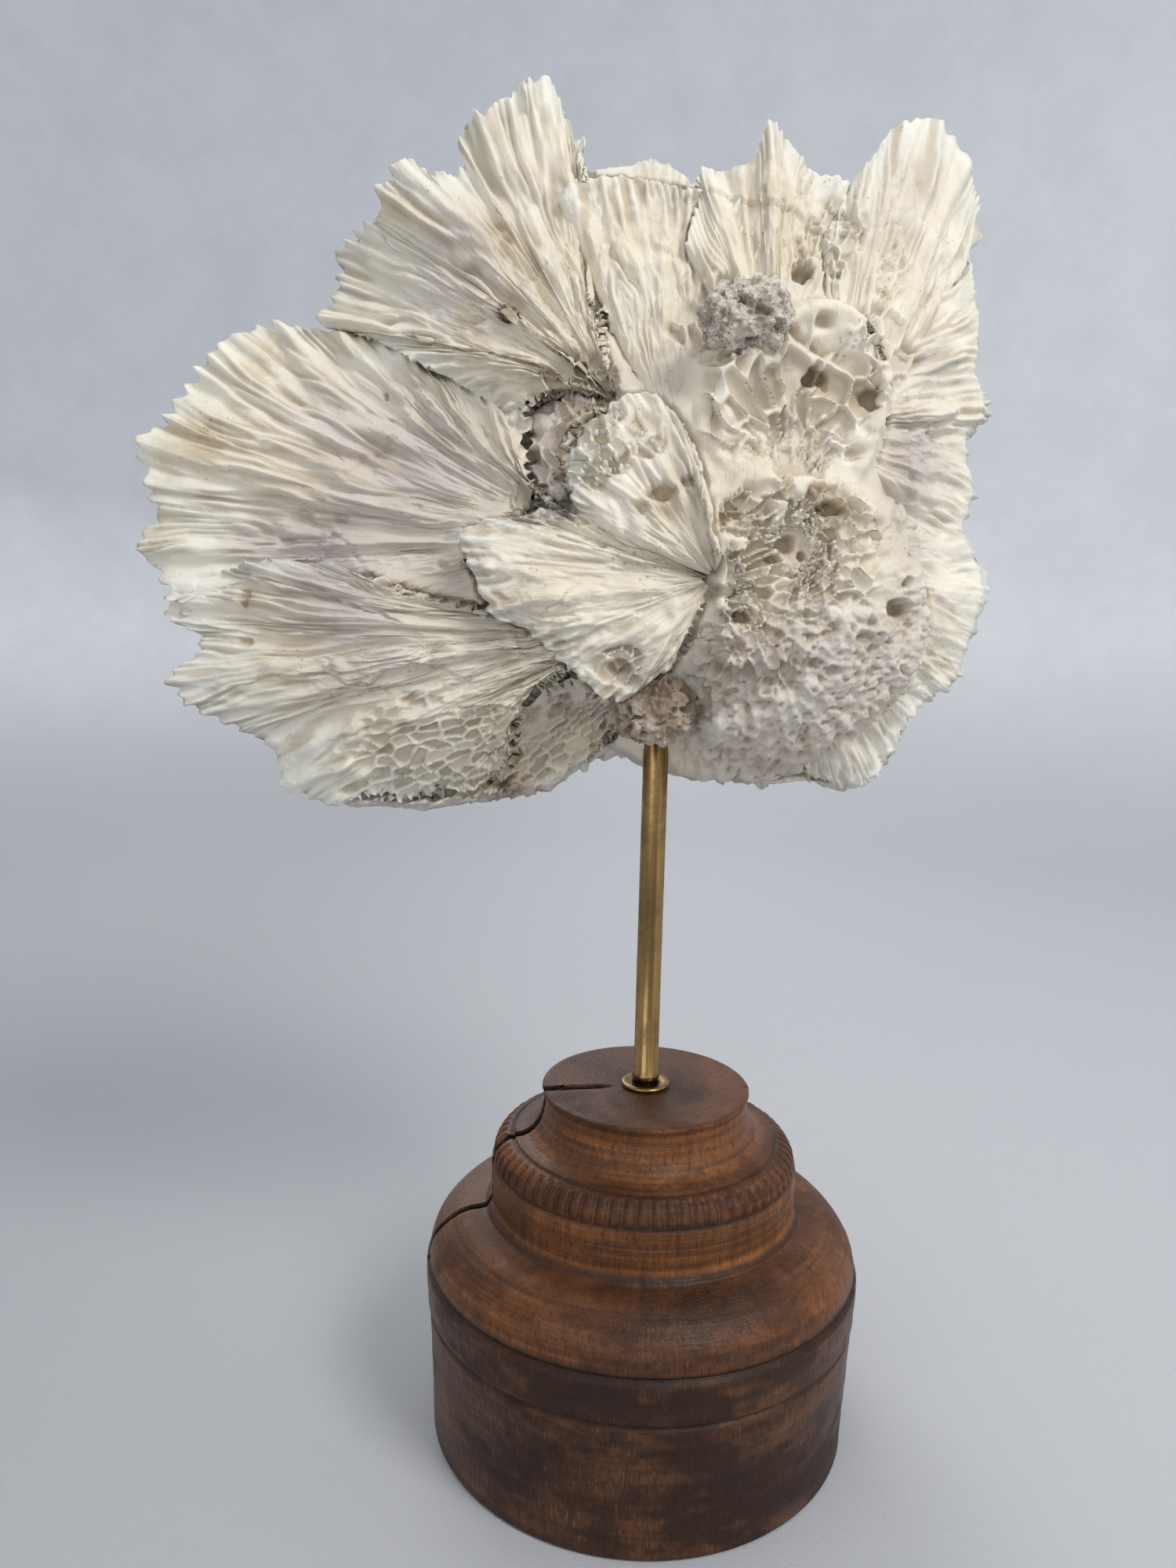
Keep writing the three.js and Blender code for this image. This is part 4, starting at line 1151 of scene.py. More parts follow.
@dataclass(frozen=True)
class Stand:
    """Sizes of the plinth, the rod and the washer, in mm, the same as the solids'."""

    foot: float = 68.9
    shoulder: float = 71.3
    band: float = 50.0
    top: float = 34.1
    groove: float = 59.0
    height: float = 116.0
    flutes: int = 72
    crack_angle: float = math.radians(188)
    crack_width: float = 1.9
    crack_depth: float = 7.0
    rod: float = 4.0
    rod_low: float = 80.3
    rod_high: float = 256.0
    washer: float = 7.9
    washer_thick: float = 1.3

    def profile(self) -> list[tuple[float, float, float]]:
        """The plinth's section as radius, height and spacing of rows up to that point."""
        s = self
        points = [(0.4, 0, 9), (s.foot - 0.8, 0, 12), (s.foot, 1, 0.5),
                  (s.shoulder - 0.8, 42.6, 1.0), (s.shoulder - 1.7, 43.6, 0.35),
                  (s.shoulder - 1.7, 44.4, 0.35), (s.shoulder - 0.4, 45.2, 0.35),
                  (s.shoulder, s.groove - 1.5, 1.0), (s.shoulder - 1.8, s.groove - 0.4, 0.35),
                  (s.shoulder - 1.2, s.groove + 0.4, 0.35)]
        dome_top = (s.band + 2.6, 75.4)
        for i in range(1, 13):
            a = i / 12 * math.pi / 2 * 0.94
            points.append((dome_top[0] + (s.shoulder - 1.0 - dome_top[0]) * math.cos(a),
                           s.groove + 0.6 + (dome_top[1] - s.groove - 0.6) * math.sin(a), 0.8))
        points += [(s.band + 2.0, 75.9, 0.4), (s.band + 1.3, 76.9, 0.35), (s.band + 0.2, 78.4, 0.35),
                   (s.band, 79.4, 0.5), (s.band + 0.2, 90.6, 1.0), (s.band + 0.2, 91.3, 0.35),
                   (s.band - 0.8, 91.9, 0.3)]
        for i in range(0, 9):
            a = i / 8 * math.pi / 2
            points.append((s.band - 6.0 + 5.6 * math.cos(a), 92.3 + 7.5 * math.sin(a), 0.45))
        points += [(s.band - 6.8, 99.5, 0.3), (s.band - 7.2, 100.5, 0.35)]
        for i in range(1, 11):
            a = i / 10 * math.pi / 2
            points.append((s.top - 0.7 + (s.band - 7.4 - s.top) * (1 - math.sin(a)),
                           100.7 + 12.3 * (1 - math.cos(a)), 0.7))
        points += [(s.top - 0.2, s.height - 1.2, 0.6), (s.top, s.height - 0.6, 0.3),
                   (s.top - 0.5, s.height, 0.3), (s.rod + 1.0, s.height, 0.9), (4.3, s.height, 0.4)]
        return points


class Plinth:
    """Builds the turned plinth with its fluted bead, tool marks and drying crack."""

    COARSE = 1.6  # how many times the profile's spacing the rows are apart
    BORE_DEPTH = 30.0  # how far down the bore for the rod is shown, mm
    TOOL_LINES = (24.0, 27.5, 31.5, 35.0, 38.5)  # heights of the raised tool lines, mm

    def __init__(self, stand: Stand, seed: int) -> None:
        self.stand = stand
        self.noise = Noise(seed)

    def _angles(self) -> Array:
        """Even columns, eight to a flute, with extra ones close by the crack."""
        even = np.linspace(0, 2 * np.pi, self.stand.flutes * 8, endpoint=False)
        local = self.stand.crack_angle + np.radians(np.linspace(-3.2, 3.2, 33))
        kept = even[np.abs(even - self.stand.crack_angle) > np.radians(3.4)]
        return np.sort(np.concatenate([kept, local]))

    def _section(self) -> Array:
        """Rows of the section as radius and height, spaced as the profile asks.

        COARSE lengthens every spacing alike.
        """
        rows: list[tuple[float, float]] = []
        points = self.stand.profile()
        for (r0, z0, _), (r1, z1, step) in zip(points[:-1], points[1:]):
            count = max(1, round(math.hypot(r1 - r0, z1 - z0) / (self.COARSE * step)))
            rows += [(r0 + (r1 - r0) * k / count, z0 + (z1 - z0) * k / count) for k in range(count)]
        rows.append(points[-1][:2])
        return np.array(rows)

    @staticmethod
    def _pad(field: Array) -> Array:
        """A field over the turned rows, with zeros for the bore's row and the two poles."""
        return np.append(np.concatenate([field, np.zeros((len(field), 1))], axis=1), [0, 0])

    @staticmethod
    def _dusky(points: Array) -> Array:
        """Where the wood is darkened: the wall, a broad patch on the dome's front, the top."""
        x, y, z = points.T
        dome = smoothstep(60, 62, z) * smoothstep(79, 74, z) * np.exp(-(((x - 12) / 30) ** 2))
        disc = 0.45 * (z > 115)
        wall = np.maximum(smoothstep(63, 58, z), disc)
        return np.maximum(wall, 0.95 * dome * smoothstep(0, -20, y))

    @staticmethod
    def _warm(points: Array) -> Array:
        """Where the wood is lighter: wear on the band, the neck and by the crack, a painted highlight
        towards the band's right, and the dome's sides partly worn, partly painted highlight.
        """
        x, z = points[:, 0], points[:, 2]
        # The band is worn lighter all round, with a painted highlight that grows towards its right.
        band = smoothstep(77, 79, z) * smoothstep(93, 91, z) * (0.55 + 0.45 * smoothstep(-30, 40, x))
        neck = 0.35 * smoothstep(99, 103, z) * smoothstep(115.6, 115, z)
        # The dome's sides are lighter: partly worn wood, partly painted highlight.
        dome = 0.4 * smoothstep(58, 62, z) * smoothstep(77, 74, z) * smoothstep(18, 52, np.abs(x))
        chip = 0.7 * np.exp(-(((x + 23) / 9) ** 2) - ((points[:, 1] + 5) / 6) ** 2) * (z > 115)
        return np.maximum(np.maximum(band, neck), np.maximum(dome, chip))

    def shell(self) -> Shell:
        """A surface of revolution, with depths added along its own normals."""
        s, section = self.stand, self._section()
        a = self._angles()[:, None]
        r, z = section[:, 0][None, :], section[:, 1][None, :]
        dr, dz = np.gradient(section[:, 0]), np.gradient(section[:, 1])
        norm = np.maximum(np.hypot(dr, dz), 1e-9)
        nr, nz = (dz / norm)[None, :], (-dr / norm)[None, :]
        outer = smoothstep(30, 34, r) * smoothstep(0.5, 3, z)

        flute_zone = smoothstep(92.2, 93.0, z) * smoothstep(99.9, 99.0, z) * smoothstep(43, 44.5, r)
        wave = np.abs(np.sin(a * s.flutes / 2))
        ridge = flute_zone * (1 - smoothstep(0.1, 0.35, wave))
        depth = 0.95 * flute_zone * (1 - smoothstep(0.3, 0.8, wave)) - 0.8 * ridge
        depth = depth - 0.2 * flute_zone * wave

        marks = 0.10 * self.noise.value(z / 0.9, np.zeros_like(z)) + 0.05 * self.noise.value(
            z / 0.45 + 50, np.zeros_like(z))
        for height in self.TOOL_LINES:
            marks = marks - 0.16 * np.exp(-(((z - height) / 0.5) ** 2))
        dents = smoothstep(0.55, 0.8, self.noise.fractal(a * 9, z / 7, octaves=2))
        warp = 0.25 * self.noise.value(a * 1.5 + 2, z / 30)
        depth = depth - outer * (marks + warp) + outer * 0.3 * dents

        path = s.crack_angle + np.radians(0.8) * self.noise.value(z / 5, np.full_like(z, 4.4))
        path = path + np.radians(0.5) * np.sign(z - 96.0)
        crack_zone = smoothstep(40, 50, z) * smoothstep(9, 16, r)
        widths = s.crack_width * crack_zone * (0.6 + 0.4 * smoothstep(45, 100, z))
        near = np.abs(a - path) * np.maximum(r, 1)
        gap = 1 - smoothstep(0.3, 1.0, near / np.maximum(widths, 1e-3))
        black = 1 - smoothstep(0.7, 1.3, near / np.maximum(widths, 1e-3))
        depth = depth + s.crack_depth * gap * crack_zone

        x = (r - nr * depth) * np.cos(a)
        y = (r - nr * depth) * np.sin(a)
        up = z - nz * depth
        grid = np.stack([x, y, np.broadcast_to(up, x.shape)], axis=-1)
        floor = s.height - self.BORE_DEPTH
        low = np.stack([grid[:, -1, 0], grid[:, -1, 1], np.full(len(grid), floor)], axis=-1)
        grid = np.concatenate([grid, low[:, None]], axis=1)
        index = np.arange(grid[..., 0].size).reshape(grid.shape[:2])
        vertices = np.vstack([grid.reshape(-1, 3), [[0, 0, 0], [0, 0, floor]]])
        faces = capped(index, len(vertices))
        # Painted shade: the crack mask blackens the crack and its edges, and the cavity mask darkens the
        # flute valleys, the turned grooves and the bore.
        wide = np.broadcast_to(black * crack_zone, depth.shape)
        bead = np.broadcast_to(ridge, depth.shape)
        valley = np.clip(wide + 0.4 * flute_zone * (1 - smoothstep(0.4, 0.8, wave)), 0, 1)
        for height, reach in ((s.groove - 0.2, 1.0), (44.0, 0.8), (77.0, 0.9), (92.0, 0.6),
                              (100.1, 0.7)):
            valley = np.maximum(valley, 0.75 * np.exp(-(((z - height) / reach) ** 2)) * outer)
        masks = {
            "cavity": np.append(np.concatenate([valley, np.ones((len(grid), 1))], axis=1), [0, 1]),
            "crack": self._pad(wide),
            "warm": np.maximum(self._warm(vertices), self._pad(bead)),
            "dusky": self._dusky(vertices),
        }
        arc = np.append(0, np.cumsum(np.hypot(*np.diff(section, axis=0).T)))
        along = np.append(arc, arc[-1] + self.BORE_DEPTH)[None, :]
        chart = np.stack(np.broadcast_arrays(a * 60, along), axis=-1)
        charts = np.vstack([chart.reshape(-1, 2), [[0, 0], [0, 0]]])
        return Shell(vertices, outward(vertices, faces), masks, charts)


def turned(outline: Sequence[tuple[float, float]], segments: int, ring: bool) -> Shell:
    """A plain turned part.

    Args:
        outline: radius and height of each corner, on the axis at both ends unless it is a ring.
        segments: facets round it.
        ring: whether the outline closes on itself.
    Returns:
        The closed shell.
    """
    a = np.linspace(0, 2 * np.pi, segments, endpoint=False)[:, None]
    line = np.array(outline)
    grid = np.stack([line[:, 0] * np.cos(a), line[:, 0] * np.sin(a),
                     np.broadcast_to(line[:, 1], (segments, len(line)))], axis=-1)
    index = np.arange(grid[..., 0].size).reshape(grid.shape[:2])
    vertices = grid.reshape(-1, 3)
    if ring:
        index = np.concatenate([index, index[:, :1]], axis=1)
        faces = [grid_quads(index, close=True)]
    else:
        vertices = np.vstack([vertices, [[0, 0, line[0, 1]], [0, 0, line[-1, 1]]]])
        faces = capped(index, len(vertices))
    masks = {"cavity": np.zeros(len(vertices))}
    return Shell(vertices, outward(vertices, faces), masks, vertices[:, [0, 2]])


# ---------- materials ----------


class Graph:
    """Adds nodes and links to one node tree."""

    def __init__(self, tree: bpy.types.NodeTree) -> None:
        self.tree = tree

    def node(self, kind: str, **settings: object) -> bpy.types.Node:
        """A new node with its properties set."""
        made = self.tree.nodes.new(kind)
        for key, value in settings.items():
            setattr(made, key, value)
        return made

    def feed(self, socket: bpy.types.NodeSocket, value: object) -> None:
        """Links an output to the socket, or sets its constant."""
        if isinstance(value, bpy.types.NodeSocket):
            self.tree.links.new(value, socket)
        else:
            socket.default_value = value

    def mix(self, share: object, a: object, b: object) -> bpy.types.NodeSocket:
        """A colour between a and b."""
        made = self.node("ShaderNodeMix", data_type="RGBA")
        self.feed(made.inputs[0], share)
        self.feed(made.inputs[6], a)
        self.feed(made.inputs[7], b)
        return made.outputs[2]

    def math(self, operation: str, a: object, b: object) -> bpy.types.NodeSocket:
        """What the named operation makes of two values."""
        made = self.node("ShaderNodeMath", operation=operation)
        self.feed(made.inputs[0], a)
        self.feed(made.inputs[1], b)
        return made.outputs[0]

    def times(self, a: object, b: object) -> bpy.types.NodeSocket:
        """The product of two values."""
        return self.math("MULTIPLY", a, b)

    def remap(self, value: object, low: object, high: object, to_low: float = 0.0,
              to_high: float = 1.0) -> bpy.types.NodeSocket:
        """A value stretched from one range to another, and held inside it."""
        made = self.node("ShaderNodeMapRange", interpolation_type="SMOOTHSTEP")
        for name, item in (("Value", value), ("From Min", low), ("From Max", high),
                           ("To Min", to_low), ("To Max", to_high)):
            self.feed(made.inputs[name], item)
        return made.outputs["Result"]

    def noise(self, vector: object, scale: object, detail: float = 4.0,
              roughness: float = 0.55) -> bpy.types.NodeSocket:
        """Fractal noise from 0 to 1."""
        made = self.node("ShaderNodeTexNoise")
        self.feed(made.inputs["Vector"], vector)
        self.feed(made.inputs["Scale"], scale)
        self.feed(made.inputs["Detail"], detail)
        self.feed(made.inputs["Roughness"], roughness)
        return made.outputs["Fac"]

    def attribute(self, name: str) -> bpy.types.NodeSocket:
        """A mask that the mesh carries."""
        return self.node("ShaderNodeAttribute", attribute_name=name).outputs["Fac"]

    def stretch(self, vector: object, scale: Point) -> bpy.types.NodeSocket:
        """Coordinates multiplied along each axis."""
        made = self.node("ShaderNodeVectorMath", operation="MULTIPLY")
        self.feed(made.inputs[0], vector)
        self.feed(made.inputs[1], scale)
        return made.outputs[0]


class GroupBuilder:
    """Makes the shader node groups that several materials share."""

    @staticmethod
    def _tree(name: str, inputs: Sequence[tuple[str, str, object]],
              outputs: Sequence[tuple[str, str]]) -> tuple[Graph, bpy.types.Node, bpy.types.Node]:
        """An empty group with named sockets, its input node and its output node."""
        tree = bpy.data.node_groups.new(name, "ShaderNodeTree")
        for label, kind, default in inputs:
            socket = tree.interface.new_socket(name=label, in_out="INPUT", socket_type=kind)
            if default is not None:
                socket.default_value = default
        for label, kind in outputs:
            tree.interface.new_socket(name=label, in_out="OUTPUT", socket_type=kind)
        graph = Graph(tree)
        return graph, graph.node("NodeGroupInput"), graph.node("NodeGroupOutput")

    def mottle(self) -> bpy.types.NodeTree:
        """Soft patches of two sizes: Mask is 0 to 1."""
        graph, given, result = self._tree(
            "Mottle",
            [("Vector", "NodeSocketVector", None), ("Scale", "NodeSocketFloat", 40.0),
             ("Low", "NodeSocketFloat", 0.42), ("High", "NodeSocketFloat", 0.62)],
            [("Mask", "NodeSocketFloat")],
        )
        wide = graph.noise(given.outputs["Vector"], given.outputs["Scale"], 3.0)
        fine_scale = graph.times(given.outputs["Scale"], 5.3)
        fine = graph.noise(given.outputs["Vector"], fine_scale, 4.0)
        both = graph.math("ADD", graph.times(wide, 0.7), graph.times(fine, 0.3))
        mask = graph.remap(both, given.outputs["Low"], given.outputs["High"])
        graph.feed(result.inputs["Mask"], mask)
        return graph.tree

    def specks(self) -> bpy.types.NodeTree:
        """Sparse dark specks: Mask is 1 in a speck."""
        graph, given, result = self._tree(
            "Specks",
            [("Vector", "NodeSocketVector", None), ("Scale", "NodeSocketFloat", 500.0),
             ("Size", "NodeSocketFloat", 0.22)],
            [("Mask", "NodeSocketFloat")],
        )
        cells = graph.node("ShaderNodeTexVoronoi")
        graph.feed(cells.inputs["Vector"], given.outputs["Vector"])
        graph.feed(cells.inputs["Scale"], given.outputs["Scale"])
        wide_scale = graph.times(given.outputs["Scale"], 0.13)
        patch = graph.noise(given.outputs["Vector"], wide_scale, 2.0)
        size = graph.times(given.outputs["Size"], graph.remap(patch, 0.45, 0.75))
        graph.feed(result.inputs["Mask"], graph.math("LESS_THAN", cells.outputs["Distance"], size))
        return graph.tree

    def grain(self) -> bpy.types.NodeTree:
        """Fine tooth for Bump: grain of two sizes with streaks along one direction."""
        graph, given, result = self._tree(
            "Grain",
            [("Vector", "NodeSocketVector", None), ("Streak Vector", "NodeSocketVector", None),
             ("Scale", "NodeSocketFloat", 900.0), ("Streaks", "NodeSocketFloat", 0.5)],
            [("Height", "NodeSocketFloat")],
        )
        tooth = graph.noise(given.outputs["Vector"], given.outputs["Scale"], 5.0, 0.65)
        streak = graph.noise(given.outputs["Streak Vector"], 1.0, 3.0)
        weighted = graph.times(streak, given.outputs["Streaks"])
        graph.feed(result.inputs["Height"], graph.math("ADD", tooth, weighted))
        return graph.tree


@dataclass(frozen=True)
class Groups:
    """The shared node groups."""

    mottle: bpy.types.NodeTree
    specks: bpy.types.NodeTree
    grain: bpy.types.NodeTree


class Surface(Graph):
    """One material's graph: its own coordinates, the shared groups and the Principled shader."""

    def __init__(self, name: str, groups: Groups) -> None:
        self.material = bpy.data.materials.new(name)
        self.material.use_nodes = True
        super().__init__(self.material.node_tree)
        self.groups = groups
        self.shader = self.tree.nodes["Principled BSDF"]
        self.place = self.node("ShaderNodeTexCoord").outputs["Object"]

    def _use(self, tree: bpy.types.NodeTree, **inputs: object) -> bpy.types.NodeSocket:
        """The first output of a shared group, with inputs named by their words joined by _."""
        made = self.node("ShaderNodeGroup")
        made.node_tree = tree
        for name, value in inputs.items():
            self.feed(made.inputs[name.replace("_", " ")], value)
        return made.outputs[0]

    def mottled(self, scale: float, low: float, high: float, squash: float = 1.0) -> bpy.types.NodeSocket:
        """Soft patches from 0 to 1, lower by squash than they are wide."""
        vector = self.place if squash == 1.0 else self.stretch(self.place, (1.0, 1.0, squash))
        return self._use(self.groups.mottle, Vector=vector, Scale=scale, Low=low, High=high)

    def specked(self, scale: float, size: float, strength: float) -> bpy.types.NodeSocket:
        """Small specks, as strong as asked."""
        return self.times(self._use(self.groups.specks, Vector=self.place, Scale=scale, Size=size),
                          strength)

    def grained(self, scale: float, streaks: float = 0.0,
                along: object = None) -> bpy.types.NodeSocket:
        """Fine grain, with streaks along stretched coordinates."""
        along = self.place if along is None else along
        return self._use(self.groups.grain, Vector=self.place, Streak_Vector=along, Scale=scale,
                         Streaks=streaks)

    def streaky(self, stretch: Point, detail: float, roughness: float = 0.55) -> bpy.types.NodeSocket:
        """Noise on coordinates stretched along each axis."""
        return self.noise(self.stretch(self.place, stretch), 1.0, detail, roughness)

    def dress(self, colour: object, roughness: object, height: object,
              depth: float) -> bpy.types.Material:
        """Feeds the shader.

        Args:
            colour: the base colour.
            roughness: a constant or a value that varies.
            height, depth: the bump's height from 0 to 1, and what 1 stands for in mm.
        Returns:
            The finished material.
        """
        self.feed(self.shader.inputs["Base Color"], colour)
        self.feed(self.shader.inputs["Roughness"], roughness)
        bump = self.node("ShaderNodeBump")
        bump.inputs["Strength"].default_value = 1.0
        bump.inputs["Distance"].default_value = depth * MM
        self.feed(bump.inputs["Height"], height)
        self.feed(self.shader.inputs["Normal"], bump.outputs["Normal"])
        return self.material


@dataclass(frozen=True)
class CoralFinish:
    """Chalky cream skeleton: ochre stain and painted shade in its valleys, cells and pits, bluish at the
    margin, grey-violet painted shade in hollows and patches.
    """

    cream: Colour = (0.79, 0.71, 0.56, 1)
    chalk: Colour = (0.875, 0.82, 0.695, 1)
    # dusk is the grey-violet of the painted shade.
    dusk: Colour = (0.50, 0.45, 0.435, 1)
    margin: Colour = (0.83, 0.855, 0.79, 1)
    ochre: Colour = (0.50, 0.35, 0.15, 1)
    # valley and cell are the browns of the cavities: partly stain, partly painted shade.
    valley: Colour = (0.45, 0.375, 0.27, 1)
    cell: Colour = (0.40, 0.285, 0.16, 1)
    speck: Colour = (0.22, 0.18, 0.15, 1)
    soot: Colour = (0.12, 0.095, 0.085, 1)
    specular: float = 0.35

    def material(self, groups: Groups) -> bpy.types.Material:
        """The masks lay one colour over another, from the palest to the soot."""
        g = Surface("coral", groups)
        mottle = g.mottled(30.0, 0.4, 0.62)
        warm = g.mix(mottle, self.cream, self.chalk)
        # Painted shade: grey-violet in the violet patches, where the surface lies below its surroundings,
        # and on inner faces.
        dusk = g.math("MAXIMUM", g.times(g.attribute("violet_shade"), 0.85),
                      g.remap(g.attribute("hollow"), 0.1, 0.9, 0.0, 0.75))
        cool = g.mix(dusk, warm, self.dusk)
        pale = g.mix(g.times(g.attribute("edge"), 0.45), cool, self.margin)
        ochre = g.times(g.attribute("ochre"), g.mottled(75.0, 0.36, 0.6))
        stained = g.mix(g.times(ochre, 0.68), pale, self.ochre)
        deep = g.mix(g.mottled(55.0, 0.38, 0.62), self.valley, self.cell)
        # The cavity mask darkens rib valleys, comb cells, grooves and pits: partly stain, partly painted
        # shade.
        sunk = g.mix(g.remap(g.attribute("cavity"), 0.35, 1.3, 0.0, 0.66), stained, deep)
        dotted = g.mix(g.specked(420.0, 0.24, 0.4), sunk, self.speck)
        soot = g.times(g.attribute("soot"), g.mottled(240.0, 0.38, 0.54))
        sooty = g.mix(g.times(soot, 0.85), dotted, self.soot)
        ribs = g.node("ShaderNodeUVMap", uv_map="ribs").outputs["UV"]
        grain = g.grained(700.0, 0.9, g.stretch(ribs, (110.0, 14.0, 0.0)))
        g.shader.inputs["Specular IOR Level"].default_value = self.specular
        return g.dress(sooty, g.remap(mottle, 0, 1, 0.55, 0.78), grain, 0.28)


@dataclass(frozen=True)
class GranularFinish:
    """A crusty growth: patches of two colours, painted shade in its hollows, and dark specks."""

    name: str
    patch: tuple[float, float, float]  # the patches' scale, low and high
    dark: Colour
    light: Colour
    deep: Colour
    shade: float
    speck: Colour
    specks: tuple[float, float, float]  # the specks' scale, size and strength
    roughness: float
    grain: float
    bump: float

    def material(self, groups: Groups) -> bpy.types.Material:
        """Patches first, then painted shade in the hollows, then the specks."""
        g = Surface(self.name, groups)
        colour = g.mix(g.mottled(*self.patch), self.dark, self.light)
        sunk = g.mix(g.times(g.attribute("cavity"), self.shade), colour, self.deep)
        dotted = g.mix(g.specked(*self.specks), sunk, self.speck)
        return g.dress(dotted, self.roughness, g.grained(self.grain), self.bump)


CRUST_FINISH = GranularFinish(
    "crust", (110.0, 0.4, 0.6), (0.30, 0.22, 0.155, 1), (0.56, 0.48, 0.38, 1),
    (0.14, 0.09, 0.06, 1), 0.7, (0.08, 0.06, 0.05, 1), (700.0, 0.4, 1.0), 0.85, 1100.0, 0.5)
LUMP_FINISH = GranularFinish(
    "lump", (260.0, 0.42, 0.58), (0.44, 0.375, 0.295, 1), (0.82, 0.765, 0.65, 1),
    (0.17, 0.14, 0.12, 1), 0.75, (0.07, 0.06, 0.05, 1), (900.0, 0.42, 0.7), 0.9, 1500.0, 0.7)


@dataclass(frozen=True)
class WoodFinish:
    """Waxed reddish-brown wood: upright fibres and flecks, ring marks, dark stains, painted glints, and
    painted shade in the grooves and the crack.

    The warm mask turns the base orange, for wear and for painted highlights, and the dusky mask gathers
    the stains and the painted glints.
    """

    brown: Colour = (0.082, 0.030, 0.012, 1)
    red: Colour = (0.20, 0.076, 0.027, 1)
    orange: Colour = (0.34, 0.13, 0.036, 1)
    fibre: Colour = (0.062, 0.023, 0.011, 1)
    ring: Colour = (0.045, 0.019, 0.010, 1)
    dusk: Colour = (0.040, 0.021, 0.015, 1)
    fleck: Colour = (0.022, 0.010, 0.006, 1)
    # glint is the colour of painted glints; groove and crack are colours of painted shade.
    glint: Colour = (0.21, 0.11, 0.055, 1)
    stain: Colour = (0.018, 0.010, 0.008, 1)
    groove: Colour = (0.018, 0.009, 0.006, 1)
    crack: Colour = (0.003, 0.002, 0.0015, 1)
    specular: float = 0.2

    def _worked(self, g: Surface, dusky: bpy.types.NodeSocket) -> bpy.types.NodeSocket:
        """The wood's own colour with its fibres, rings and flecks, and painted glints."""
        bands = g.streaky((24.0, 24.0, 150.0), 3.0)
        base = g.mix(g.remap(bands, 0.35, 0.65), self.brown, self.red)
        glow = g.mix(g.times(g.attribute("warm"), 0.75), base, self.orange)
        fibres = g.streaky((520.0, 520.0, 46.0), 4.0, 0.6)
        fibred = g.mix(g.remap(fibres, 0.42, 0.72, 0.0, 0.6), glow, self.fibre)
        rings = g.streaky((9.0, 9.0, 620.0), 3.0)
        ringed = g.mix(g.remap(rings, 0.46, 0.66, 0.0, 0.5), fibred, self.ring)
        deep = g.mix(g.times(dusky, 0.45), ringed, self.dusk)
        flecks = g.streaky((2300.0, 2300.0, 330.0), 2.0)
        flecked = g.mix(g.remap(flecks, 0.52, 0.68, 0.0, 0.6), deep, self.fleck)
        # Painted glints: small light streaks in the dusky places.
        glints = g.remap(g.streaky((1700.0, 1700.0, 260.0), 2.0), 0.57, 0.70)
        return g.mix(g.times(g.times(glints, dusky), 0.55), flecked, self.glint)

    def material(self, groups: Groups) -> bpy.types.Material:
        """Stains, and painted shade in the grooves and the crack, over the worked wood."""
        g = Surface("wood", groups)
        dusky = g.attribute("dusky")
        wide = g.mottled(20.0, 0.46, 0.58, 1.9)
        soaked = g.times(wide, g.math("ADD", g.times(dusky, 0.36), 0.42))
        spots = g.times(g.mottled(62.0, 0.45, 0.62, 1.5), g.times(dusky, 0.66))
        dark = g.mix(g.math("MAXIMUM", soaked, spots), self._worked(g, dusky), self.stain)
        # Painted shade: the cavity mask darkens the turned grooves, the flute valleys and the bore.
        grooved = g.mix(g.times(g.attribute("cavity"), 0.75), dark, self.groove)
        # Painted shade: near black in and beside the crack.
        cracked = g.mix(g.attribute("crack"), grooved, self.crack)
        grain = g.grained(600.0, 1.4, g.stretch(g.place, (900.0, 900.0, 60.0)))
        tooled = g.math("ADD", grain, g.times(g.streaky((3.0, 3.0, 850.0), 2.0), 1.6))
        g.shader.inputs["Specular IOR Level"].default_value = self.specular
        return g.dress(cracked, g.remap(wide, 0, 1, 0.36, 0.5), tooled, 0.18)


@dataclass(frozen=True)
class BrassFinish:
    """Satin brass, browned in patches, with dark runs along the rod."""

    clean: Colour = (0.40, 0.26, 0.10, 1)
    aged: Colour = (0.20, 0.12, 0.05, 1)
    run: Colour = (0.11, 0.066, 0.03, 1)

    def material(self, groups: Groups) -> bpy.types.Material:
        """Patches, then the runs."""
        g = Surface("brass", groups)
        mottle = g.mottled(90.0, 0.4, 0.66)
        aged = g.mix(g.times(mottle, 0.65), self.clean, self.aged)
        runs = g.remap(g.streaky((420.0, 420.0, 9.0), 4.0), 0.44, 0.64, 0.0, 0.7)
        grain = g.grained(1800.0, 2.0, g.stretch(g.place, (1500.0, 1500.0, 30.0)))
        g.shader.inputs["Metallic"].default_value = 1.0
        return g.dress(g.mix(runs, aged, self.run), g.remap(mottle, 0, 1, 0.24, 0.42), grain, 0.02)


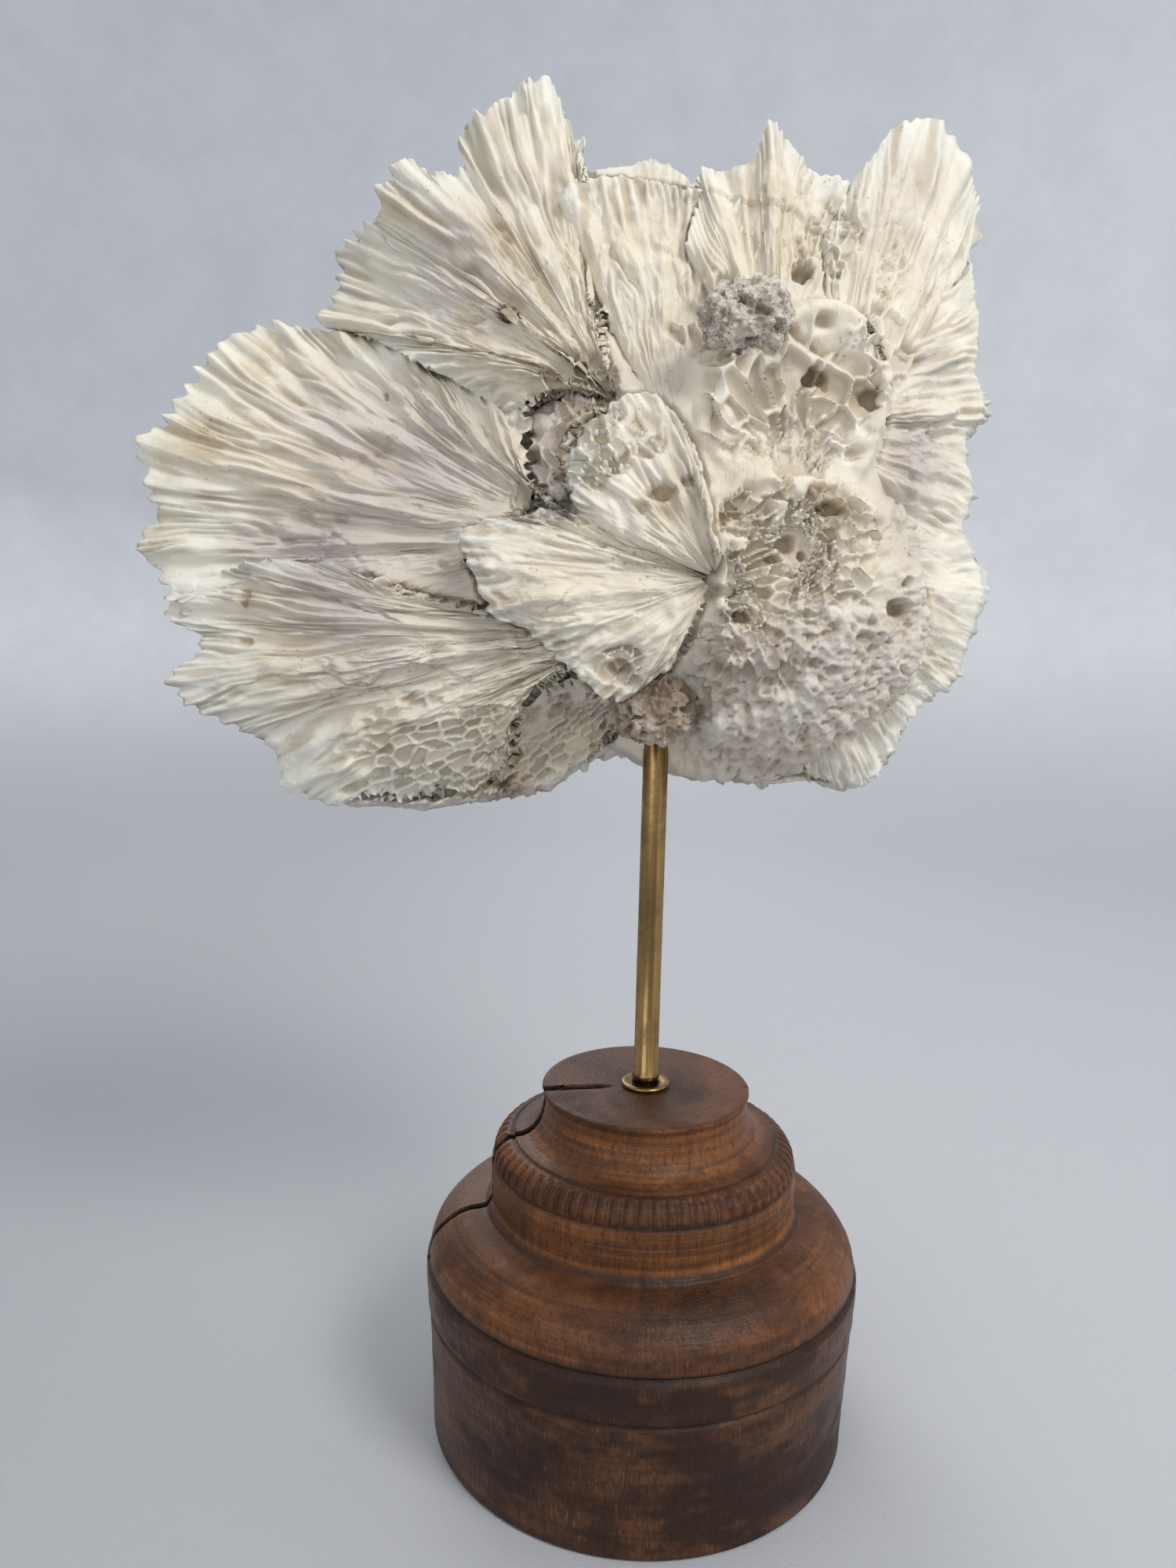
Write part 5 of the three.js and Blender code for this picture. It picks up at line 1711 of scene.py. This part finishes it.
@dataclass(frozen=True)
class ClothFinish:
    """Pale blue-grey cloth, with a painted shadow darkening it to the left, and painted shade darkening
    it where it lies flat.
    """

    hung_left: Colour = (0.58, 0.595, 0.63, 1)
    hung_right: Colour = (0.73, 0.745, 0.775, 1)
    laid_left: Colour = (0.37, 0.38, 0.40, 1)
    laid_right: Colour = (0.51, 0.52, 0.545, 1)

    def material(self, groups: Groups) -> bpy.types.Material:
        """The hung and the laid cloth, blended by height."""
        g = Surface("floor", groups)
        parts = g.node("ShaderNodeSeparateXYZ")
        g.feed(parts.inputs[0], g.place)
        x, z = parts.outputs["X"], parts.outputs["Z"]
        patches = g.times(g.mottled(9.0, 0.35, 0.65), 0.3)
        # Painted shadow: the hung cloth darkens towards the left.
        across = g.math("ADD", g.remap(x, -0.7, 0.6, 0.0, 0.7), patches)
        hung = g.mix(across, self.hung_left, self.hung_right)
        # Painted shadow: the laid cloth darkens towards the left.
        laid = g.mix(g.remap(x, -0.35, 0.15), self.laid_left, self.laid_right)
        # Painted shade: the laid cloth is darker than the hung cloth.
        return g.dress(g.mix(g.remap(z, 0.25, 0.0), hung, laid), 0.9, g.grained(900.0), 0.25)


# ---------- room ----------


@dataclass(frozen=True)
class Lamp:
    """A soft square light that looks at the colony."""

    name: str
    place: Point
    size: float
    power: float
    colour: Point


LAMPS = [
    Lamp("key", (0.84, -0.95, 1.45), 0.6, 17.5, (1.0, 0.98, 0.945)),
    Lamp("fill", (-0.45, -1.1, 0.7), 0.9, 2.7, (0.95, 0.97, 1.0)),
    Lamp("top", (-0.1, 0.25, 1.5), 0.8, 2.4, (1.0, 0.99, 0.97)),
    Lamp("rear", (-0.45, 1.05, 0.9), 0.8, 5.0, (1.0, 0.99, 0.97)),
]


class Room:
    """The round floor that sweeps up into a wall, the lamps, the sky and the camera."""

    TARGET = Vector((-0.02, 0.0, 0.25))
    FLAT, BEND, TOP = 0.95, 0.5, 2.6

    def sweep(self, material: bpy.types.Material) -> bpy.types.Object:
        """A bowl turned about the upright axis: flat, a quarter circle, then straight up."""
        a = np.linspace(0, math.pi / 2, 17)
        radius = np.concatenate([[0.05], self.FLAT + self.BEND * np.sin(a), [self.FLAT + self.BEND]])
        height = np.concatenate([[0.0], self.BEND * (1 - np.cos(a)), [self.TOP]])
        turn = np.linspace(0, 2 * np.pi, 96, endpoint=False)[:, None]
        grid = np.stack([radius * np.cos(turn), radius * np.sin(turn),
                         np.broadcast_to(height, (96, len(height)))], axis=-1)
        index = np.arange(grid[..., 0].size).reshape(grid.shape[:2])
        vertices = np.vstack([grid.reshape(-1, 3), [[0, 0, 0]]])
        rows = grid_quads(index, close=True).tolist()
        rows += fan(index[:, 0], len(vertices) - 1)[:, [1, 0, 2]].tolist()
        mesh = bpy.data.meshes.new("floor")
        mesh.from_pydata(vertices.tolist(), [], rows)
        mesh.polygons.foreach_set("use_smooth", np.ones(len(rows), dtype=bool))
        mesh.materials.append(material)
        floor = bpy.data.objects.new("floor", mesh)
        bpy.context.scene.collection.objects.link(floor)
        return floor

    def lamps(self) -> None:
        """Adds every lamp, turned to the target."""
        for lamp in LAMPS:
            data = bpy.data.lights.new(lamp.name, "AREA")
            data.shape = "SQUARE"
            data.size = lamp.size
            data.energy = lamp.power
            data.color = lamp.colour
            light = bpy.data.objects.new(lamp.name, data)
            light.location = lamp.place
            aim = self.TARGET - Vector(lamp.place)
            light.rotation_euler = aim.to_track_quat("-Z", "Y").to_euler()
            light.visible_camera = False
            bpy.context.scene.collection.objects.link(light)

    def sky(self) -> None:
        """An even pale sky, and colours shown as they are."""
        world = bpy.data.worlds.new("sky")
        world.use_nodes = True
        backdrop = world.node_tree.nodes["Background"]
        backdrop.inputs["Color"].default_value = (0.9, 0.94, 1.0, 1)
        backdrop.inputs["Strength"].default_value = 0.58
        bpy.context.scene.world = world
        bpy.context.scene.view_settings.view_transform = "Standard"

    def camera(self) -> None:
        """A 27 mm camera in front of the object, pitched down and rolled a little."""
        pitch, roll = math.radians(8.95), math.radians(1.31)
        ahead = Vector((0, math.cos(pitch), -math.sin(pitch)))
        above = Vector((0, math.sin(pitch), math.cos(pitch)))
        right = Vector((1, 0, 0))
        across = math.cos(roll) * right + math.sin(roll) * above
        upright = -math.sin(roll) * right + math.cos(roll) * above
        data = bpy.data.cameras.new("camera")
        data.lens = 27.0
        data.sensor_width = 36.0
        data.clip_start = 0.02
        camera = bpy.data.objects.new("camera", data)
        turn = Matrix((across, upright, -ahead)).transposed().to_4x4()
        camera.matrix_world = Matrix.Translation((-0.0212, -0.3688, 0.2742)) @ turn
        bpy.context.scene.collection.objects.link(camera)
        bpy.context.scene.camera = camera


# ---------- assembly ----------


class Colony:
    """Builds every coral piece."""

    def __init__(self, groups: Groups) -> None:
        self.coral = CoralFinish().material(groups)
        self.crust = CRUST_FINISH.material(groups)
        self.lump = LUMP_FINISH.material(groups)

    def build(self) -> None:
        """Makes the heart, the fronds, the holdfast and the lump."""
        fronds = [Frond(plan, seed) for seed, plan in enumerate(FRONDS, start=101)]
        heart, marks = Heart(), Marks(7)
        front, back = Growth(-1.0), Growth(1.0)
        front.lay(heart.base)
        for frond in fronds:
            (back if frond.plan.faces_back else front).lay(frond.base)
        core = CORE.shell(11)
        back.lay(core.vertices[core.vertices[:, 1] > 0])
        front.settle([(12.0, 3.4), (6.0, 0.9), (3.0, 0.3)])
        back.settle([(12.0, 4.0), (6.0, 1.2), (3.0, 0.4)])
        core.to_object(CORE.name, Slot.CORAL, self.coral, "heart")
        heart.shell(front, marks).to_object("heart_face", Slot.CORAL, self.coral, "heart")
        for frond in fronds:
            side = back if frond.plan.faces_back else front
            shell = frond.shell(side, marks)
            shell.to_object(frond.plan.name + "_skin", Slot.CORAL, self.coral, frond.plan.name)
        KNOB.shell(12).to_object(KNOB.name, Slot.CRUST, self.crust, "holdfast")
        CRUST.shell(14).to_object(CRUST.name, Slot.CRUST, self.crust, "holdfast")
        LUMP.shell(13).to_object(LUMP.name, Slot.LUMP, self.lump, "encrusting_lump")


class Mount:
    """Builds the plinth, the rod and the washer."""

    def __init__(self, groups: Groups, stand: Stand) -> None:
        self.stand = stand
        self.wood = WoodFinish().material(groups)
        self.brass = BrassFinish().material(groups)

    def build(self) -> None:
        """Makes the three pieces."""
        s = self.stand
        Plinth(s, 5).shell().to_object("plinth_turned", Slot.WOOD, self.wood, "plinth")
        foot = s.height + 0.3
        rod = [(s.rod - 0.4, s.rod_low), (s.rod, s.rod_low + 0.4), (s.rod, foot + 2.2),
               (s.rod + 0.5, foot + 2.6), (s.rod + 0.5, foot + 4.2), (s.rod, foot + 4.6),
               (s.rod, foot + 60), (s.rod, s.rod_high - 0.4), (s.rod - 0.4, s.rod_high)]
        turned(rod, 64, False).to_object("rod_turned", Slot.BRASS, self.brass, "brass_rod")
        inner, outer, top = s.rod + 0.05, s.washer, foot + s.washer_thick
        washer = [(inner, foot), (outer - 0.2, foot), (outer, foot + 0.25), (outer, top - 0.45),
                  (outer - 0.3, top - 0.1), (outer - 0.8, top), (inner, top)]
        turned(washer, 72, True).to_object("washer_turned", Slot.BRASS, self.brass, "brass_washer")


def main() -> None:
    """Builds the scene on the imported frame."""
    logging.basicConfig(level=logging.INFO, format="%(name)s %(message)s")
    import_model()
    builder = GroupBuilder()
    groups = Groups(builder.mottle(), builder.specks(), builder.grain())
    room = Room()
    room.camera()
    room.lamps()
    room.sky()
    room.sweep(ClothFinish().material(groups))
    Colony(groups).build()
    Mount(groups, Stand()).build()


if __name__ == "__main__":
    main()
